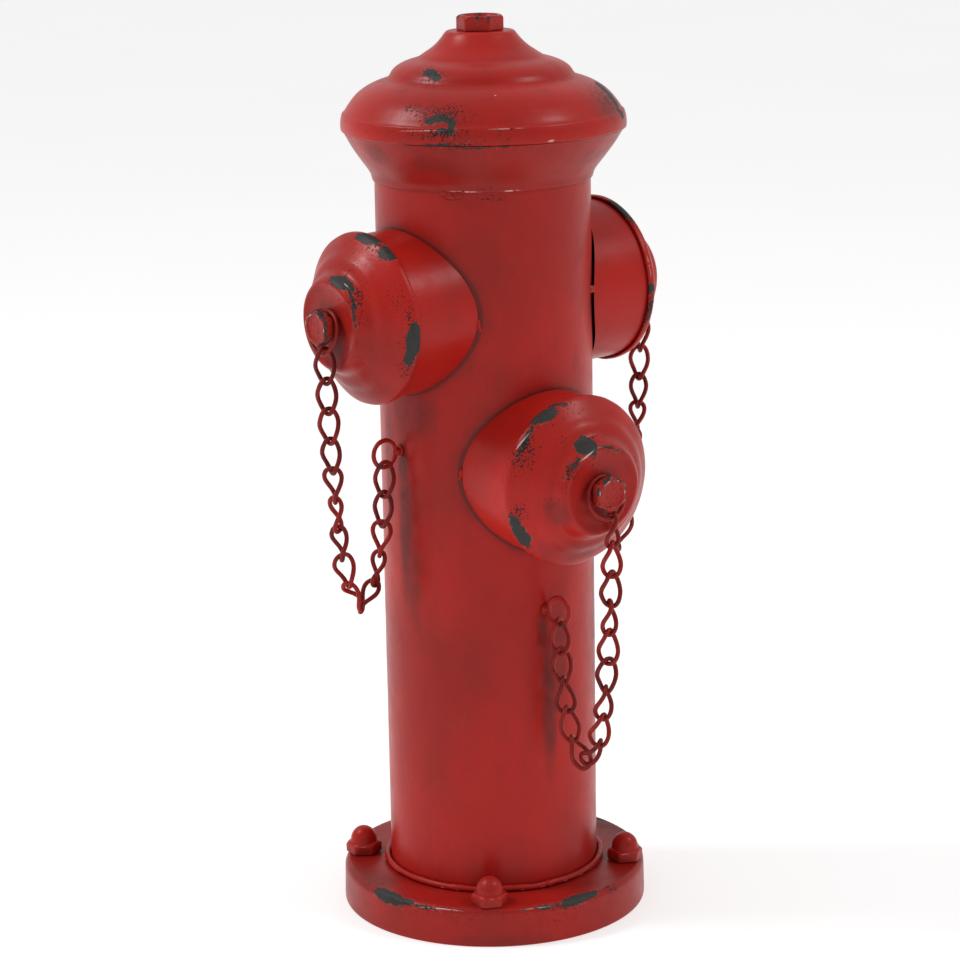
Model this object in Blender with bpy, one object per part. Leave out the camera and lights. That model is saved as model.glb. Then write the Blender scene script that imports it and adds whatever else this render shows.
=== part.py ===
"""Ornamental sheet-steel fire hydrant, about 357 mm tall.

Metres, +Z up.  The origin is the centre of the underside of the base, on the
barrel's axis.  The low front outlet points along -Y, the two high outlets
along -X and +X.  Every solid below is one closed body and one named object.
"""
import math

import bmesh
import bpy
from mathutils import Matrix, Vector

MM = 0.001
GAP = 0.3                       # clearance between touching pieces, mm

# ---- base ---------------------------------------------------------------
PAN_R_LOW, PAN_R_TOP, PAN_H = 61.5, 61.1, 15.6
PAN_T = 1.2                     # sheet thickness of the pressed pan
PLATE_R, PLATE_T = 59.6, 1.2
BOLT_HEAD_R = 4.9               # small heads, to clear the pan's fillet
NUT_PCR = 53.8                  # radius of the base nuts' circle
NUT_ANGLES = (("left", 138.0), ("front", 231.3), ("right", 315.3), ("rear", 47.0))
# ---- barrel and bonnet ---------------------------------------------------
BARREL_R, BARREL_T = 42.0, 1.2
BARREL_Z0, BARREL_Z1 = PAN_H + GAP, 297.0
BEAD_WIRE_R, BEAD_R = 1.25, 43.6
SKIRT_OUTER = ((43.4, 294.9), (43.9, 297.2), (46.4, 301.0), (49.3, 305.1),
               (51.7, 308.7), (53.3, 311.6), (54.4, 313.5))
DOME_OUTER = ((55.2, 314.0), (55.2, 317.0), (54.1, 320.4), (50.0, 325.7),
              (46.9, 328.7), (41.6, 331.8), (36.8, 334.2), (32.6, 337.8),
              (27.6, 340.2), (21.0, 343.2), (15.8, 347.4), (12.9, 351.1))
BONNET_LEAN = (0.6, -0.45)      # the bonnet's rim sits a little off the axis
SHEET_T = 1.0
BONNET_AF, BONNET_SHANK_R, BONNET_TOP = 16.0, 4.85, 357.0
# ---- outlets -------------------------------------------------------------
# name, azimuth, axis height at the barrel wall, droop, tube radius, cap rim
# radius.  Distances along an outlet are counted from the barrel's axis.
OUTLETS = (("left", 181.4, 246.7, -1.9, 31.7, 33.3),
           ("front", -91.2, 185.0, -2.6, 31.7, 33.3),
           ("right", 1.0, 247.8, 0.9, 31.7, 33.3))
TUBE_T, TUBE_END = 1.2, 57.9
CAP_T = 1.0
# (distance, radius as a share of the rim radius)
CAP_OUTER = ((56.6, 0.997), (58.6, 1.0), (60.1, 0.962), (62.2, 0.892),
             (64.4, 0.815), (66.3, 0.735), (67.8, 0.655), (69.6, 0.590),
             (72.6, 0.545), (74.8, 0.487))
BOSS_D, BOSS_FLAT_R = 73.6, 11.0     # dished face the bolt stands in
CAP_HEX_AF, CAP_HEX_BACK, CAP_HEX_FACE = 13.0, 77.2, 81.1
M8_R, M8_HOLE_R = 3.9, 4.25
# ---- rings and chains ------------------------------------------------------
WIRE_R = 0.9
CAP_RING_R, CAP_RING_D, CAP_RING_DROP, CAP_RING_TILT = 8.2, 77.05, 2.1, 16.0
# sideways place of the first link on the ring, one per chain
HOOK_SIDE = {"left": 2.4, "front": 1.8, "right": -1.6}
WALL_RING_R = 5.3
# name, weld azimuth, weld height, azimuth the ring points to, wall to centre
WALL_RINGS = (("left", 180.2, 191.9, 183.5, 7.9),
              ("front", -95.3, 130.4, -78.5, 6.6),
              ("right", 1.0, 191.9, 1.0, 7.9))
LINKS, LINK_PITCH, LINK_HOLE, LINK_WIDTH = 14, 11.7, 12.0, 9.1
END_LEN = LINK_HOLE - 2 * WIRE_R - 2 * GAP   # last link, hook to wall ring

SEG = 36                        # round shells
RED = (0.270, 0.0165, 0.0145, 1.0)
DARK_RED = (0.160, 0.011, 0.011, 1.0)
STEEL = (0.19, 0.185, 0.18, 1.0)


def clear_scene():
    for ob in list(bpy.data.objects):
        bpy.data.objects.remove(ob, do_unlink=True)


def paint(name, colour, roughness=0.42, metallic=0.0):
    mat = bpy.data.materials.new(name)
    mat.use_nodes = True
    bsdf = mat.node_tree.nodes["Principled BSDF"]
    bsdf.inputs["Base Color"].default_value = colour
    bsdf.inputs["Roughness"].default_value = roughness
    bsdf.inputs["Metallic"].default_value = metallic
    mat.diffuse_color = colour
    return mat


def finish(bm, name, matrix=None, colour=RED, parent=None, smooth=True, metallic=0.0):
    """Turn a bmesh built in millimetres into a named object."""
    bmesh.ops.remove_doubles(bm, verts=bm.verts[:], dist=1e-4)
    bmesh.ops.recalc_face_normals(bm, faces=bm.faces[:])
    if bm.calc_volume(signed=True) < 0:
        bmesh.ops.reverse_faces(bm, faces=bm.faces[:])
    bmesh.ops.scale(bm, vec=(MM, MM, MM), verts=bm.verts[:])
    mesh = bpy.data.meshes.new(name)
    bm.to_mesh(mesh)
    bm.free()
    ob = bpy.data.objects.new(name, mesh)
    bpy.context.scene.collection.objects.link(ob)
    mesh.materials.append(paint(name, colour, metallic=metallic))
    if smooth:
        mesh.shade_smooth()
        mesh.set_sharp_from_angle(angle=math.radians(38))
    if parent is not None:
        ob.parent = parent
    if matrix is not None:
        ob.matrix_local = matrix
    return ob


def ring(r, z, n=SEG, squash=None):
    """A circle of radius r at height z, starting on +X."""
    return [Vector((r * math.cos(2 * math.pi * i / n),
                    r * math.sin(2 * math.pi * i / n), z)) for i in range(n)]


def hex_ring(af, z, n=12):
    """Points on a hexagon's outline, with a corner on +X."""
    out = []
    for i in range(n):
        a = 2 * math.pi * i / n
        k = (a + 1e-9) % (math.pi / 3) - math.pi / 6
        r = af / 2 / math.cos(k)
        out.append(Vector((r * math.cos(a), r * math.sin(a), z)))
    return out


def loft(rings, closed=False):
    """Skin a row of rings.  Closed joins the last to the first, as a shell of
    revolution needs; otherwise both ends are capped."""
    bm = bmesh.new()
    rows = [[bm.verts.new(p) for p in r] for r in rings]
    n = len(rows[0])
    pairs = list(zip(rows[:-1], rows[1:]))
    if closed:
        pairs.append((rows[-1], rows[0]))
    for a, b in pairs:
        for i in range(n):
            j = (i + 1) % n
            bm.faces.new((a[i], a[j], b[j], b[i]))
    if not closed:
        bm.faces.new(rows[0])
        bm.faces.new(rows[-1])
    return bm


def shell_rings(outer, t, n=SEG, skip=2):
    """Rings of a sheet of thickness t inside the profile `outer` (r, z).  The
    hidden inner side keeps every skip-th point only."""
    pts = [Vector(p) for p in outer]
    inner = []
    for i, p in enumerate(pts):
        d = (pts[min(i + 1, len(pts) - 1)] - pts[max(i - 1, 0)]).normalized()
        inner.append(p + Vector((-d.y, d.x)) * t)
    last = len(pts) - 1
    kept = [p for i, p in enumerate(inner) if i % skip == 0 or i == last]
    rows = [ring(p.x, p.y, n) for p in pts] + [ring(p.x, p.y, n) for p in reversed(kept)]
    return rows, kept


def boolean(ob, cutter, operation):
    """Apply one exact Boolean and keep the plain mesh."""
    mod = ob.modifiers.new("cut", "BOOLEAN")
    mod.operation = operation
    mod.solver = "EXACT"
    mod.object = cutter
    bpy.context.view_layer.update()
    dg = bpy.context.evaluated_depsgraph_get()
    mesh = bpy.data.meshes.new_from_object(ob.evaluated_get(dg))
    ob.modifiers.clear()
    old = ob.data
    name = old.name
    ob.data = mesh
    bpy.data.meshes.remove(old)
    mesh.name = name
    bpy.data.objects.remove(cutter, do_unlink=True)
    return ob


def cylinder(name, r, z0, z1, matrix=None, n=16, colour=STEEL):
    return finish(loft([ring(r, z0, n), ring(r, z1, n)]), name, matrix, colour)


def torus(name, r, wire, matrix=None, n=40, m=8, colour=RED, parent=None):
    rows = []
    for i in range(n):
        a = 2 * math.pi * i / n
        rows.append([Vector(((r + wire * math.cos(2 * math.pi * j / m)) * math.cos(a),
                             (r + wire * math.cos(2 * math.pi * j / m)) * math.sin(a),
                             wire * math.sin(2 * math.pi * j / m))) for j in range(m)])
    return finish(loft(rows, closed=True), name, matrix, colour, parent)


def empty(name, matrix):
    ob = bpy.data.objects.new(name, None)
    ob.empty_display_size = 0.02
    bpy.context.scene.collection.objects.link(ob)
    ob.matrix_local = matrix
    return ob


def place(origin_mm, x, y, z):
    """A matrix with the given axes and an origin in millimetres."""
    m = Matrix((x, y, z)).transposed().to_4x4()
    m.translation = Vector(origin_mm) * MM
    return m


def outlet_frame(az, height, droop):
    """Local Z runs out along the outlet, local Y is up, and the local origin
    sits at distance 0 so that z counts from the barrel's axis."""
    a, t = math.radians(az), math.radians(droop)
    out = Vector((math.cos(a) * math.cos(t), math.sin(a) * math.cos(t), math.sin(t)))
    side = Vector((-math.sin(a), math.cos(a), 0.0))
    up = out.cross(side)
    wall = Vector((BARREL_R * math.cos(a), BARREL_R * math.sin(a), height))
    return wall - out * BARREL_R, side, up, out


# ---------------------------------------------------------------- the base
def build_base():
    pan = [(PAN_R_LOW, 0.0), (PAN_R_TOP + 0.15, PAN_H - 3.2), (PAN_R_TOP - 0.25, PAN_H - 1.5),
           (PAN_R_TOP - 1.0, PAN_H - 0.5), (PAN_R_TOP - 2.4, PAN_H)]
    inner = [(PAN_R_TOP - 2.6, PAN_H - PAN_T), (PAN_R_TOP - 1.7, PAN_H - 2.4),
             (PAN_R_LOW - PAN_T, 0.0)]
    bm = bmesh.new()
    rows = [[bm.verts.new(p) for p in ring(r, z, 40)] for r, z in inner[::-1]]
    rows_o = [[bm.verts.new(p) for p in ring(r, z, 40)] for r, z in pan]
    for seq in (rows, rows_o):
        for a, b in zip(seq[:-1], seq[1:]):
            for i in range(40):
                j = (i + 1) % 40
                bm.faces.new((a[i], a[j], b[j], b[i]))
    for i in range(40):
        j = (i + 1) % 40
        bm.faces.new((rows[0][i], rows[0][j], rows_o[0][j], rows_o[0][i]))
    bm.faces.new(rows[-1])
    bm.faces.new(rows_o[-1])
    flange = finish(bm, "base_flange", smooth=True)
    for _, ang in NUT_ANGLES:
        a = math.radians(ang)
        at = Matrix.Translation(Vector((NUT_PCR * math.cos(a), NUT_PCR * math.sin(a), 0)) * MM)
        boolean(flange, cylinder("bolt_hole", M8_HOLE_R, PAN_H - 4, PAN_H + 4, at), "DIFFERENCE")
    flange.data.materials.clear()
    flange.data.materials.append(paint("base_flange", RED))
    finish(loft([ring(PLATE_R, 0.0, 40), ring(PLATE_R, PLATE_T, 40)]), "base_plate", colour=DARK_RED)
    torus("foot_bead", BEAD_R, BEAD_WIRE_R,
          Matrix.Translation((0, 0, (PAN_H + GAP + BEAD_WIRE_R) * MM)), 32, 5)

    under = PAN_H - PAN_T - GAP
    for n, (side, ang) in enumerate(NUT_ANGLES):
        a = math.radians(ang)
        turn = math.radians((8, -21, 17, 3)[n])
        at = Matrix.Translation(Vector((NUT_PCR * math.cos(a), NUT_PCR * math.sin(a), 0)) * MM)
        # small round head under the pan, shank through it
        rows = [ring(4.5, under - 3.2, 12), ring(BOLT_HEAD_R, under - 2.6, 12),
                ring(BOLT_HEAD_R, under, 12),
                ring(M8_R, under, 12), ring(M8_R, PAN_H + 6.4, 12)]
        finish(loft(rows), "base_bolt_" + side, at, STEEL, metallic=1.0)
        # low cap nut with a blind hole
        z0 = PAN_H + GAP
        rows = [ring(M8_HOLE_R, z0 + 7.0, 12), ring(M8_HOLE_R, z0, 12),
                hex_ring(13.0, z0), hex_ring(13.0, z0 + 4.3),
                ring(6.35, z0 + 5.0, 12)]
        for k in range(0, 5):
            f = math.radians(12 + k * 17.5)
            rows.append(ring(5.5 * math.cos(f) + 0.1, z0 + 4.9 + 6.0 * math.sin(f), 12))
        finish(loft(rows), "acorn_nut_" + side, at @ Matrix.Rotation(a + turn, 4, "Z"))


# ------------------------------------------------------ barrel and bonnet
def build_barrel():
    r0, r1 = BARREL_R, BARREL_R - BARREL_T
    rows = [ring(r0, BARREL_Z0), ring(r0, BARREL_Z1), ring(r1, BARREL_Z1), ring(r1, BARREL_Z0)]
    finish(loft(rows, closed=True), "barrel_tube")
    # flared skirt under the bonnet, its upper lip standing a little proud
    rows, _ = shell_rings(SKIRT_OUTER, SHEET_T)
    z_low, z_top = SKIRT_OUTER[0][1], SKIRT_OUTER[-1][1]
    for row in rows:
        k = (row[0].z - z_low) / (z_top - z_low)
        for v in row:
            v.x += BONNET_LEAN[0] * k
            v.y += BONNET_LEAN[1] * k
    finish(loft(rows, closed=True), "bonnet_skirt")
    rows, inner = shell_rings(DOME_OUTER, SHEET_T)
    hole = BONNET_SHANK_R + GAP
    top_out, top_in = DOME_OUTER[-1][1], DOME_OUTER[-1][1] - SHEET_T
    n = len(DOME_OUTER)
    rows = rows[:n] + [ring(hole, top_out), ring(hole, top_in)] + rows[n:]
    # keep the underside of the top disc level
    rows[n + 2] = ring(DOME_OUTER[-1][0] - 0.8, top_in)
    rows[0] = ring(DOME_OUTER[0][0], SKIRT_OUTER[-1][1] + GAP)
    rows[-1] = ring(DOME_OUTER[0][0] - SHEET_T, SKIRT_OUTER[-1][1] + GAP)
    z_low, z_top = DOME_OUTER[0][1], DOME_OUTER[-1][1]
    for row in rows:
        k = min(1.0, max(0.0, (z_top - 1.5 - row[0].z) / (z_top - 1.5 - z_low)))
        for v in row:
            v.x += BONNET_LEAN[0] * k
            v.y += BONNET_LEAN[1] * k
    finish(loft(rows, closed=True), "bonnet_dome")
    # indented hexagon bolt: the head is dished in the middle
    z0 = top_out + GAP
    turn = Matrix.Rotation(math.radians(15.8), 4, "Z")
    head = BONNET_TOP
    rows = [ring(BONNET_SHANK_R, z0 - 12.5, 12), ring(BONNET_SHANK_R, z0, 12),
            hex_ring(BONNET_AF, z0), hex_ring(BONNET_AF, head - 0.7),
            ring(7.7, head, 12), ring(6.5, head, 12), ring(5.4, head - 1.1, 12)]
    finish(loft(rows), "bonnet_bolt", turn)
    zt = top_in - GAP
    rows = [hex_ring(BONNET_AF, zt - 7.6), hex_ring(BONNET_AF, zt),
            ring(BONNET_SHANK_R + GAP, zt, 12), ring(BONNET_SHANK_R + GAP, zt - 7.6, 12)]
    finish(loft(rows, closed=True), "bonnet_nut", turn, STEEL, metallic=1.0)


# --------------------------------------------------------------- outlets
def saddle(base, side, up, out, r, n, wall):
    """The curve where a tube of radius r meets the barrel's wall."""
    pts = []
    for i in range(n):
        a = 2 * math.pi * i / n
        p = base + side * (r * math.cos(a)) + up * (r * math.sin(a))
        # horizontal distance wall from the Z axis, going out along the tube
        qa = out.x ** 2 + out.y ** 2
        qb = 2 * (p.x * out.x + p.y * out.y)
        qc = p.x ** 2 + p.y ** 2 - wall ** 2
        t = (-qb + math.sqrt(qb * qb - 4 * qa * qc)) / (2 * qa)
        pts.append(Vector((r * math.cos(a), r * math.sin(a), t)))
    return pts


def build_outlets():
    frames = {}
    for side_name, az, height, droop, tube_r, cap_r in OUTLETS:
        base, side, up, out = outlet_frame(az, height, droop)
        frames[side_name] = (base, side, up, out)
        m = place(base, side, up, out)
        n = 28
        wall = BARREL_R + GAP
        rows = [saddle(base, side, up, out, tube_r, n, wall), ring(tube_r, TUBE_END, n),
                ring(tube_r - TUBE_T, TUBE_END, n),
                saddle(base, side, up, out, tube_r - TUBE_T, n, wall)]
        finish(loft(rows, closed=True), "outlet_" + side_name, m)
        # pressed cap: rolled rim, domed shoulder, groove and a dished boss
        prof = [(r * cap_r, d) for d, r in CAP_OUTER]
        rows, _ = shell_rings(prof, CAP_T, n)
        k = len(prof)
        rows = rows[:k] + [ring(BOSS_FLAT_R, BOSS_D, n), ring(M8_HOLE_R, BOSS_D, n),
                           ring(M8_HOLE_R, BOSS_D - CAP_T, n), ring(BOSS_FLAT_R, BOSS_D - CAP_T, n)] \
            + rows[k:]
        rows[k + 4] = ring(prof[-1][0] - 1.1, prof[-1][1] - 1.2, n)
        finish(loft(rows, closed=True), "cap_" + side_name, m)
        # hexagon bolt with one corner down, and the nut inside the cap
        corner_down = m @ Matrix.Rotation(math.pi / 2, 4, "Z")
        rows = [ring(M8_R, 63.6, 12), ring(M8_R, CAP_HEX_BACK, 12),
                hex_ring(CAP_HEX_AF, CAP_HEX_BACK),
                hex_ring(CAP_HEX_AF, CAP_HEX_FACE - 0.6),
                ring(6.25, CAP_HEX_FACE, 12), ring(5.3, CAP_HEX_FACE, 12),
                ring(4.6, CAP_HEX_FACE - 0.5, 12)]
        finish(loft(rows), "cap_bolt_" + side_name, corner_down)
        zt = BOSS_D - CAP_T - GAP
        rows = [hex_ring(13.0, zt - 6.4), hex_ring(13.0, zt),
                ring(M8_R + GAP, zt, 12), ring(M8_R + GAP, zt - 6.4, 12)]
        finish(loft(rows, closed=True), "cap_nut_" + side_name, corner_down, STEEL, metallic=1.0)
    return frames


# --------------------------------------------------------- rings and chains
def ring_bottom(side_name, frame):
    """Centre of the cap ring's wire where the chain hangs from it."""
    base, side, up, out = frame
    t = math.radians(CAP_RING_TILT)
    x = HOOK_SIDE[side_name]
    drop = math.sqrt(CAP_RING_R ** 2 - x ** 2)
    return (base + out * (CAP_RING_D + drop * math.sin(t)) + side * x
            - up * (CAP_RING_DROP + drop * math.cos(t)))


def hang(span, rise, lens):
    """Directions of rigid links that hang between two pins under gravity.
    Link i slopes by tan = k * (i - m); k and m are found so that the row ends
    at (span, rise)."""
    def end(k, m):
        x = y = 0.0
        for i, ln in enumerate(lens):
            s = k * (i - m)
            q = math.hypot(1.0, s)
            x += ln / q
            y += ln * s / q
        return x, y
    lo_k, hi_k = 0.01, 50.0
    m = len(lens) / 2
    for _ in range(60):
        k = math.sqrt(lo_k * hi_k)
        lo_m, hi_m = -1.0, len(lens)
        for _ in range(60):
            m = (lo_m + hi_m) / 2
            if end(k, m)[1] > rise:
                lo_m = m
            else:
                hi_m = m
        if end(k, m)[0] > span:
            lo_k = k
        else:
            hi_k = k
    return [Vector((1.0, k * (i - m))).normalized() for i in range(len(lens))]


def link_path(n=12):
    """Centre line of one twisted link: an oval along Z whose two ends are
    turned 90 degrees to each other."""
    a, b = LINK_HOLE / 2 + WIRE_R, LINK_WIDTH / 2 - WIRE_R
    pts = []
    for i in range(n):
        q = 2 * math.pi * i / n
        c, s = math.cos(q), math.sin(q)
        u = b * math.copysign(abs(s) ** 0.82, s)
        v = a * math.copysign(abs(c) ** 0.90, c)
        f = max(-1.0, min(1.0, v / a))
        tw = math.radians(45) * math.sin(math.pi / 2 * f)
        ang = math.radians(45) + tw
        pts.append(Vector((u * math.cos(ang), u * math.sin(ang), v)))
    return pts


def tube_along(pts, r, m=5):
    """A closed wire of radius r along a loop of points."""
    n = len(pts)
    centre = sum(pts, Vector()) / n
    bm = bmesh.new()
    rows = []
    for i in range(n):
        t = (pts[(i + 1) % n] - pts[i - 1]).normalized()
        x = (centre - pts[i])
        x = (x - t * x.dot(t)).normalized()
        y = t.cross(x)
        rows.append([bm.verts.new(pts[i] + (x * math.cos(2 * math.pi * j / m)
                                            + y * math.sin(2 * math.pi * j / m)) * r)
                     for j in range(m)])
    for i in range(n):
        a, b = rows[i], rows[(i + 1) % n]
        for j in range(m):
            k = (j + 1) % m
            bm.faces.new((a[j], a[k], b[k], b[j]))
    return bm


def build_chains(frames):
    for side_name, weld_az, weld_z, point_az, reach in WALL_RINGS:
        base, side, up, out = frames[side_name]
        # loose wire ring behind the bolt's head; its empty sits on the bolt
        pivot = empty("cap_ring_pivot_" + side_name,
                      place(base + out * CAP_RING_D, side, up, out))
        t = math.radians(CAP_RING_TILT)
        m = Matrix.Translation((0, -CAP_RING_DROP * MM, 0)) @ Matrix.Rotation(-t, 4, "X")
        torus("cap_ring_" + side_name, CAP_RING_R, WIRE_R, m, 20, 5, parent=pivot)

        # ring of wire welded on edge to the barrel, bead and ring in one
        a, b = math.radians(weld_az), math.radians(point_az)
        radial = Vector((math.cos(b), math.sin(b), 0))
        cross = Vector((-math.sin(b), math.cos(b), 0))
        weld = Vector((BARREL_R * math.cos(a), BARREL_R * math.sin(a), weld_z))
        centre = weld + radial * reach
        wall_ring = torus("wall_ring_" + side_name, WALL_RING_R, WIRE_R,
                          place(centre, radial, Vector((0, 0, 1)), -cross), 16, 5)
        n_out = Vector((math.cos(a), math.sin(a), 0))
        bead_r = max(1.2, (reach - WALL_RING_R + WIRE_R - GAP) / 2)
        bm = bmesh.new()
        bmesh.ops.create_uvsphere(bm, u_segments=8, v_segments=5, radius=1.0)
        bmesh.ops.scale(bm, vec=(bead_r, 1.7, 1.7), verts=bm.verts[:])
        bead = finish(bm, "weld_bead", place(weld + n_out * (GAP + bead_r), n_out,
                                             Vector((-n_out.y, n_out.x, 0)), Vector((0, 0, 1))))
        boolean(wall_ring, bead, "UNION")
        wall_ring.data.materials.clear()
        wall_ring.data.materials.append(paint("wall_ring_" + side_name, RED))

        # the chain hangs in the vertical plane through both rings
        start = ring_bottom(side_name, frames[side_name])
        stop = centre - Vector((0, 0, WALL_RING_R))
        flat = Vector((stop.x - start.x, stop.y - start.y, 0))
        h = flat.normalized()
        across = Vector((0, 0, 1)).cross(h)
        lens = [LINK_PITCH] * (LINKS - 1) + [END_LEN]
        dirs = hang(flat.length, stop.z - start.z, lens)
        line = (start - stop).normalized()
        px = across
        py = line.cross(px)
        axis_at = place(start, px, py, line)
        swing = empty("chain_swing_" + side_name, axis_at)
        inv = axis_at.inverted()
        at = start.copy()
        links = []
        for i, d in enumerate(dirs):
            along = h * d.x + Vector((0, 0, d.y))
            mid = at + along * (LINK_HOLE / 2 - WIRE_R - GAP)
            inplane = across.cross(along)
            # local Z is along the link; the end at -Z hooks the link before
            # and lies in the chain's plane, the end at +Z lies across it
            links.append(place(mid, inplane, across, along))
            at = at + along * lens[i]
        for k in range(0, LINKS, 2):
            name = "chain_%s_%d" % (side_name, k // 2 + 1)
            # two neighbouring links, joined where they bear on each other
            one = finish(tube_along(link_path(), WIRE_R), name, links[k])
            shift = links[k + 1].copy()
            pull = links[k + 1].to_3x3().col[2] * 0.42 * MM
            shift.translation = shift.translation + pull
            two = finish(tube_along(link_path(), WIRE_R), name + "_b", shift)
            boolean(one, two, "UNION")
            one.data.materials.clear()
            one.data.materials.append(paint(name, RED))
            one.parent = swing
            one.matrix_local = inv @ links[k]


def main():
    clear_scene()
    build_base()
    build_barrel()
    frames = build_outlets()
    build_chains(frames)
    bpy.context.view_layer.update()


main()
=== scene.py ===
import math

import bpy
from mathutils import Matrix, Vector, noise


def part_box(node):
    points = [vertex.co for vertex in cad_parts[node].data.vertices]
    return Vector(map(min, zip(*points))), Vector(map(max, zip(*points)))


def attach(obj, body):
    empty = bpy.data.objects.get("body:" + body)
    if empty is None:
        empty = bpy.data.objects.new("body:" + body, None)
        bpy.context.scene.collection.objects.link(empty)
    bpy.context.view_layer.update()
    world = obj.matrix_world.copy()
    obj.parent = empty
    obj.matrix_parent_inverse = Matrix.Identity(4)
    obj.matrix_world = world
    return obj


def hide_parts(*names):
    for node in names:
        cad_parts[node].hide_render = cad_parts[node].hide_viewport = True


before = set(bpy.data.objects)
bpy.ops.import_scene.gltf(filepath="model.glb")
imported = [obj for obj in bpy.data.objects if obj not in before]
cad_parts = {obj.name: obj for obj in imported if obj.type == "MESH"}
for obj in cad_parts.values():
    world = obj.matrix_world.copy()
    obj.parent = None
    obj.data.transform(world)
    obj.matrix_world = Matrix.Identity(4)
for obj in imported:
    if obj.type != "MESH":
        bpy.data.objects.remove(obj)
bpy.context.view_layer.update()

MM = 0.001

# ------------------------------------------------------------------ sizes
# The same formulas and values as the CAD, in millimetres.
BARREL_R = 42.0
GAP = 0.3
PAN_R_LOW, PAN_R_TOP, PAN_H = 61.5, 61.1, 15.6
NUT_PCR = 53.8
NUT_ANGLES = (("left", 138.0, 8), ("front", 231.3, -21), ("right", 315.3, 17), ("rear", 47.0, 3))
OUTLETS = (("left", 181.4, 246.7, -1.9, 31.7, 33.3),
           ("front", -91.2, 185.0, -2.6, 31.7, 33.3),
           ("right", 1.0, 247.8, 0.9, 31.7, 33.3))
TUBE_END = 57.9
BOSS_D = 73.6
CAP_HEX_AF, CAP_HEX_BACK, CAP_HEX_FACE = 13.0, 77.2, 81.1
WIRE_R = 0.9
CAP_RING_R, CAP_RING_D, CAP_RING_DROP, CAP_RING_TILT = 8.2, 77.05, 2.1, 16.0
HOOK_SIDE = {"left": 2.4, "front": 1.8, "right": -1.6}
WALL_RING_R = 5.3
WALL_RINGS = (("left", 180.2, 191.9, 183.5, 7.9),
              ("front", -95.3, 130.4, -78.5, 6.6),
              ("right", 1.0, 191.9, 1.0, 7.9))
LINKS, LINK_PITCH, LINK_HOLE, LINK_WIDTH = 14, 11.7, 12.0, 9.1
END_LEN = LINK_HOLE - 2 * WIRE_R - 2 * GAP
BONNET_LEAN = (0.6, -0.45)
BONNET_AF, BONNET_TOP, CROWN_Z = 16.0, 357.0, 351.1


# ------------------------------------------------------------- mesh helpers
def wob(p, size, amp, seed=0.0):
    """Smooth hand-made unevenness: noise with features of `size` mm."""
    return amp * noise.noise(Vector((p.x / size + seed, p.y / size - seed, p.z / size + 2 * seed)))


def frame_at(origin_mm, x, y, z):
    m = Matrix((x, y, z)).transposed().to_4x4()
    m.translation = Vector(origin_mm)
    return m


def outlet_frame(az, height, droop):
    a, t = math.radians(az), math.radians(droop)
    out = Vector((math.cos(a) * math.cos(t), math.sin(a) * math.cos(t), math.sin(t)))
    side = Vector((-math.sin(a), math.cos(a), 0.0))
    up = out.cross(side)
    wall = Vector((BARREL_R * math.cos(a), BARREL_R * math.sin(a), height))
    return wall - out * BARREL_R, side, up, out


def curve(pts, per=6):
    """A smooth line through the points (r, z)."""
    out = []
    n = len(pts)
    for i in range(n - 1):
        p0, p1, p2, p3 = (Vector(pts[max(i - 1, 0)]), Vector(pts[i]), Vector(pts[i + 1]),
                          Vector(pts[min(i + 2, n - 1)]))
        for k in range(per):
            t = k / per
            out.append(0.5 * ((2 * p1) + (p2 - p0) * t + (2 * p0 - 5 * p1 + 4 * p2 - p3) * t * t
                              + (3 * p1 - p0 - 3 * p2 + p3) * t ** 3))
    out.append(Vector(pts[-1]))
    return out


def circle(r, z, n):
    return [Vector((r * math.cos(2 * math.pi * i / n), r * math.sin(2 * math.pi * i / n), z))
            for i in range(n)]


def hexagon(af, z, n=96, limit=None, turn=0.0):
    out = []
    for i in range(n):
        a = 2 * math.pi * i / n
        k = (a + 1e-9) % (math.pi / 3) - math.pi / 6
        r = af / 2 / math.cos(k)
        if limit:
            r = min(r, limit)
        out.append(Vector((r * math.cos(a + turn), r * math.sin(a + turn), z)))
    return out


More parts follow.
